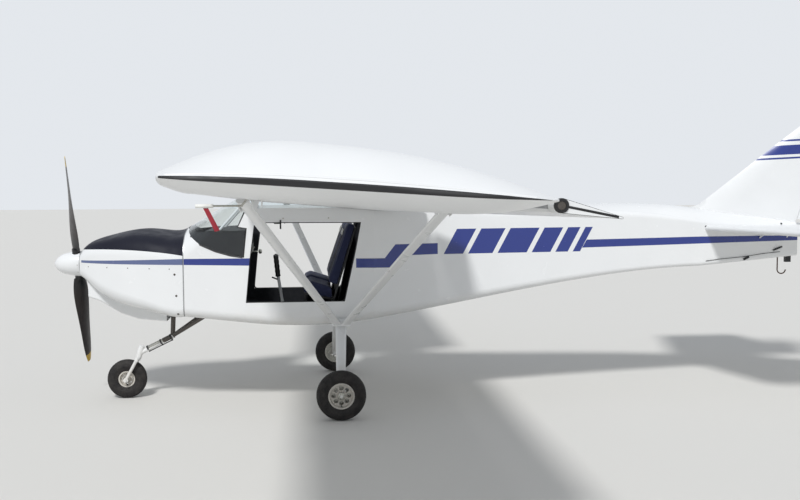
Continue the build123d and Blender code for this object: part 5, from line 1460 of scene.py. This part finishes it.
class AddNoseLegDetail(bpy.types.Operator):
    """Dark tubes, bare sliding tube, clamps and guide rod of the nose leg"""

    bl_idname = "microlight.add_nose_leg_detail"
    bl_label = "Nose leg detail"

    def execute(self, context):
        apex, head, upright = (
            spot(station, 0, height) for station, height in (LEG_APEX, LEG_HEAD, UPRIGHT_TOP)
        )
        along = (head - apex).normalized()
        below = along.cross(Vector((0, 1, 0))).normalized()
        if below.z > 0:
            below = -below
        reach = (head - apex).length
        share, radius = SLEEVE
        dark = [bar(apex - along * 0.012, apex + along * reach * share, radius, 32, 0.002)]
        mounts = [spot(LEG_MOUNT[0], side * LEG_MOUNT[1], LEG_MOUNT[2]) for _, side in SIDES]
        ends = [(mount, *MOUNT_TUBE) for mount in mounts] + [(upright, *UPRIGHT)]
        for end, share, radius in ends:
            dark.append(bar(apex, apex + (end - apex) * share, radius, 28))
        settle(join(dark), "nose_leg_dark_tubes", "tube")
        start, end = (apex + along * reach * share for share in BARE_TUBE)
        settle(bar(start, end, BARE_RADIUS, 32, 0.001), "nose_leg_bare_tube", "steel")
        clamps = []
        for share, radius in LEG_CLAMPS:
            middle = apex + along * reach * share
            profile = ((CLAMP_BORE, -HALF_CLAMP), (radius, -HALF_CLAMP), (radius, HALF_CLAMP),
                       (CLAMP_BORE, HALF_CLAMP))
            clamps.append(turned(profile, middle, along, 40))
            top, foot = (middle + below * drop for drop in CLAMP_BOLT)
            clamps.append(bar(top, foot, 0.0055, 12, 0.001))
        rod = [apex + along * reach * share + below * ROD_DROP for share, _ in LEG_CLAMPS]
        clamps.append(rod_through(rod, 0.004))
        settle(join(clamps), "nose_leg_clamps", "dark_metal")
        return {"FINISHED"}


# Tow release rod on the port side, its horns (start, end, radius) and the tailplane's bolts
RELEASE_ROD = ((5091, 1024), (5200, 1036), (5420, 1052), (5600, 1075), (5739, 1086))
TAIL_HORNS = (((5418, 1030), (5462, 1050), 9), ((5677, 1100), (5753, 1127), 7))
TAIL_BOLTS = ((5756, 1312), (5088, 1298))
ROD_GAP, HORN_GAP = 0.004, 0.01


def off_tail(place_at, gap):
    """Point off the port side of the rear fuselage, from a station and height and a gap in
    metres"""
    station, height = place_at
    skin, _ = skin_point("rear_fuselage", spot(station, -BESIDE_TAIL, height), (0, 1, 0))
    return skin - Vector((0, gap, 0))


class AddTailDetail(bpy.types.Operator):
    """Release rod of the tow hook with its horns, bolts of the tailplane"""

    bl_idname = "microlight.add_tail_detail"
    bl_label = "Tail detail"

    def execute(self, context):
        parts = [rod_through([off_tail(place_at, ROD_GAP) for place_at in RELEASE_ROD], 0.0022)]
        for start, end, radius in TAIL_HORNS:
            start, end = off_tail(start, HORN_GAP), off_tail(end, HORN_GAP)
            parts.append(bar(start, end, radius / 1000, 12, 0.001))
        settle(join(parts), "tow_release_rod", "dark_metal")
        places = []
        for _, side in SIDES:
            for station, height in TAIL_BOLTS:
                outside = spot(station, side * BESIDE_TAIL, height)
                point, normal = skin_point("rear_fuselage", outside, (0, -side, 0))
                places.append((point - normal * 0.0003, normal))
        settle(set_down(round_head(0.009, 0.004), places), "tailplane_bolts", "dark_metal")
        return {"FINISHED"}


# Key sun: turn in degrees, strength, and size in degrees
SUN_TURN, SUN_STRENGTH, SUN_SIZE = (42, 12, -28), 2.4, 9.0
FLOOR_SIZE = 120
# Camera: place in metres, yaw, pitch and roll in degrees, and focal length in image pixels
CAMERA_PLACE = (-1.26665, -7.5865, 1.651)
CAMERA_TURN = (5.141, 3.932, -0.286)
FOCAL_PIXELS, IMAGE_WIDTH, SENSOR_WIDTH = 965.77, 800, 36


class AddStage(bpy.types.Operator):
    """Pale floor, soft studio light and the camera"""

    bl_idname = "microlight.add_stage"
    bl_label = "Stage and camera"

    def execute(self, context):
        scene = context.scene
        scene.view_settings.view_transform = "Standard"
        bpy.ops.object.select_all(action="DESELECT")
        bpy.ops.mesh.primitive_plane_add(size=FLOOR_SIZE, location=(0, 0, 0))
        floor = context.object
        floor.name = "floor"
        material, _, shader = new_material("pale studio floor")
        shader.inputs["Base Color"].default_value = rgba(linear("#d9d7d2"))
        shader.inputs["Roughness"].default_value = 0.9
        floor.data.materials.append(material)

        world = bpy.data.worlds.new("studio")
        world.use_nodes = True
        tree = world.node_tree
        tree.nodes.clear()
        path = add_node(tree, "ShaderNodeLightPath")
        seen = path.outputs["Is Camera Ray"]
        for kind in ("Is Transmission Ray", "Is Glossy Ray"):
            seen = add_node(tree, MATH, MAXIMUM, i0=seen, i1=path.outputs[kind]).outputs[0]
        lit = add_node(tree, "ShaderNodeBackground", i0=rgba(linear("#e6ecf5")), i1=0.55)
        shown = add_node(tree, "ShaderNodeBackground", i0=rgba(linear("#e9edf2")), i1=0.95)
        blend = add_node(tree, "ShaderNodeMixShader", i0=seen, i1=lit.outputs[0], i2=shown.outputs[0])
        add_node(tree, "ShaderNodeOutputWorld", Surface=blend.outputs[0])
        scene.world = world

        bpy.ops.object.light_add(type="SUN", rotation=[math.radians(angle) for angle in SUN_TURN])
        sun = context.object
        sun.name = "key sun"
        sun.data.energy = SUN_STRENGTH
        sun.data.angle = math.radians(SUN_SIZE)

        camera_data = bpy.data.cameras.new("camera")
        camera = bpy.data.objects.new("camera", camera_data)
        scene.collection.objects.link(camera)
        camera_data.sensor_width = SENSOR_WIDTH
        camera_data.lens = FOCAL_PIXELS * SENSOR_WIDTH / IMAGE_WIDTH
        camera_data.clip_end = 300
        yaw, pitch, roll = (math.radians(angle) for angle in CAMERA_TURN)
        ahead = Vector((
            math.sin(yaw) * math.cos(pitch), math.cos(yaw) * math.cos(pitch), -math.sin(pitch),
        ))
        right = Vector((math.cos(yaw), -math.sin(yaw), 0))
        up = right.cross(ahead)
        tilted_right = right * math.cos(roll) + up * math.sin(roll)
        tilted_up = up * math.cos(roll) - right * math.sin(roll)
        turn = Matrix((tilted_right, tilted_up, -ahead)).transposed().to_4x4()
        camera.matrix_world = Matrix.Translation(CAMERA_PLACE) @ turn
        scene.camera = camera
        return {"FINISHED"}


class MICROLIGHT_PT_looks(bpy.types.Panel):
    """Colours, sizes and pieces of the aircraft"""

    bl_label = "Microlight"
    bl_space_type = "VIEW_3D"
    bl_region_type = "UI"
    bl_category = "Microlight"

    def draw(self, context):
        layout = self.layout
        for group in (context.scene.aircraft_colours, context.scene.aircraft_sizes):
            for key in group.__annotations__:
                layout.prop(group, key)
        for operator in OPERATORS:
            layout.operator(operator.bl_idname)


OPERATORS = (
    FinishNodes, AddTyres, AddWheelDetail, AddCowlDetail, AddCabinTrim, AddCabinPaintedShadeLining,
    AddStickDetail, AddInstruments, AddPedals, AddWingDetail, AddFlaperonDetail, AddStrutDetail,
    AddNoseLegDetail, AddTailDetail, AddSeatPads, AddSeatBelts, AddStage,
)
GROUPS = (AircraftColours, AircraftSizes)


def register():
    for cls in (*GROUPS, *OPERATORS, MICROLIGHT_PT_looks):
        bpy.utils.register_class(cls)
    bpy.types.Scene.aircraft_colours = PointerProperty(type=AircraftColours)
    bpy.types.Scene.aircraft_sizes = PointerProperty(type=AircraftSizes)


def unregister():
    del bpy.types.Scene.aircraft_colours
    del bpy.types.Scene.aircraft_sizes
    for cls in reversed((*GROUPS, *OPERATORS, MICROLIGHT_PT_looks)):
        bpy.utils.unregister_class(cls)


def main():
    """Build every piece in order"""
    register()
    for operator in OPERATORS:
        area, name = operator.bl_idname.split(".")
        getattr(getattr(bpy.ops, area), name)()


if __name__ == "__main__":
    main()
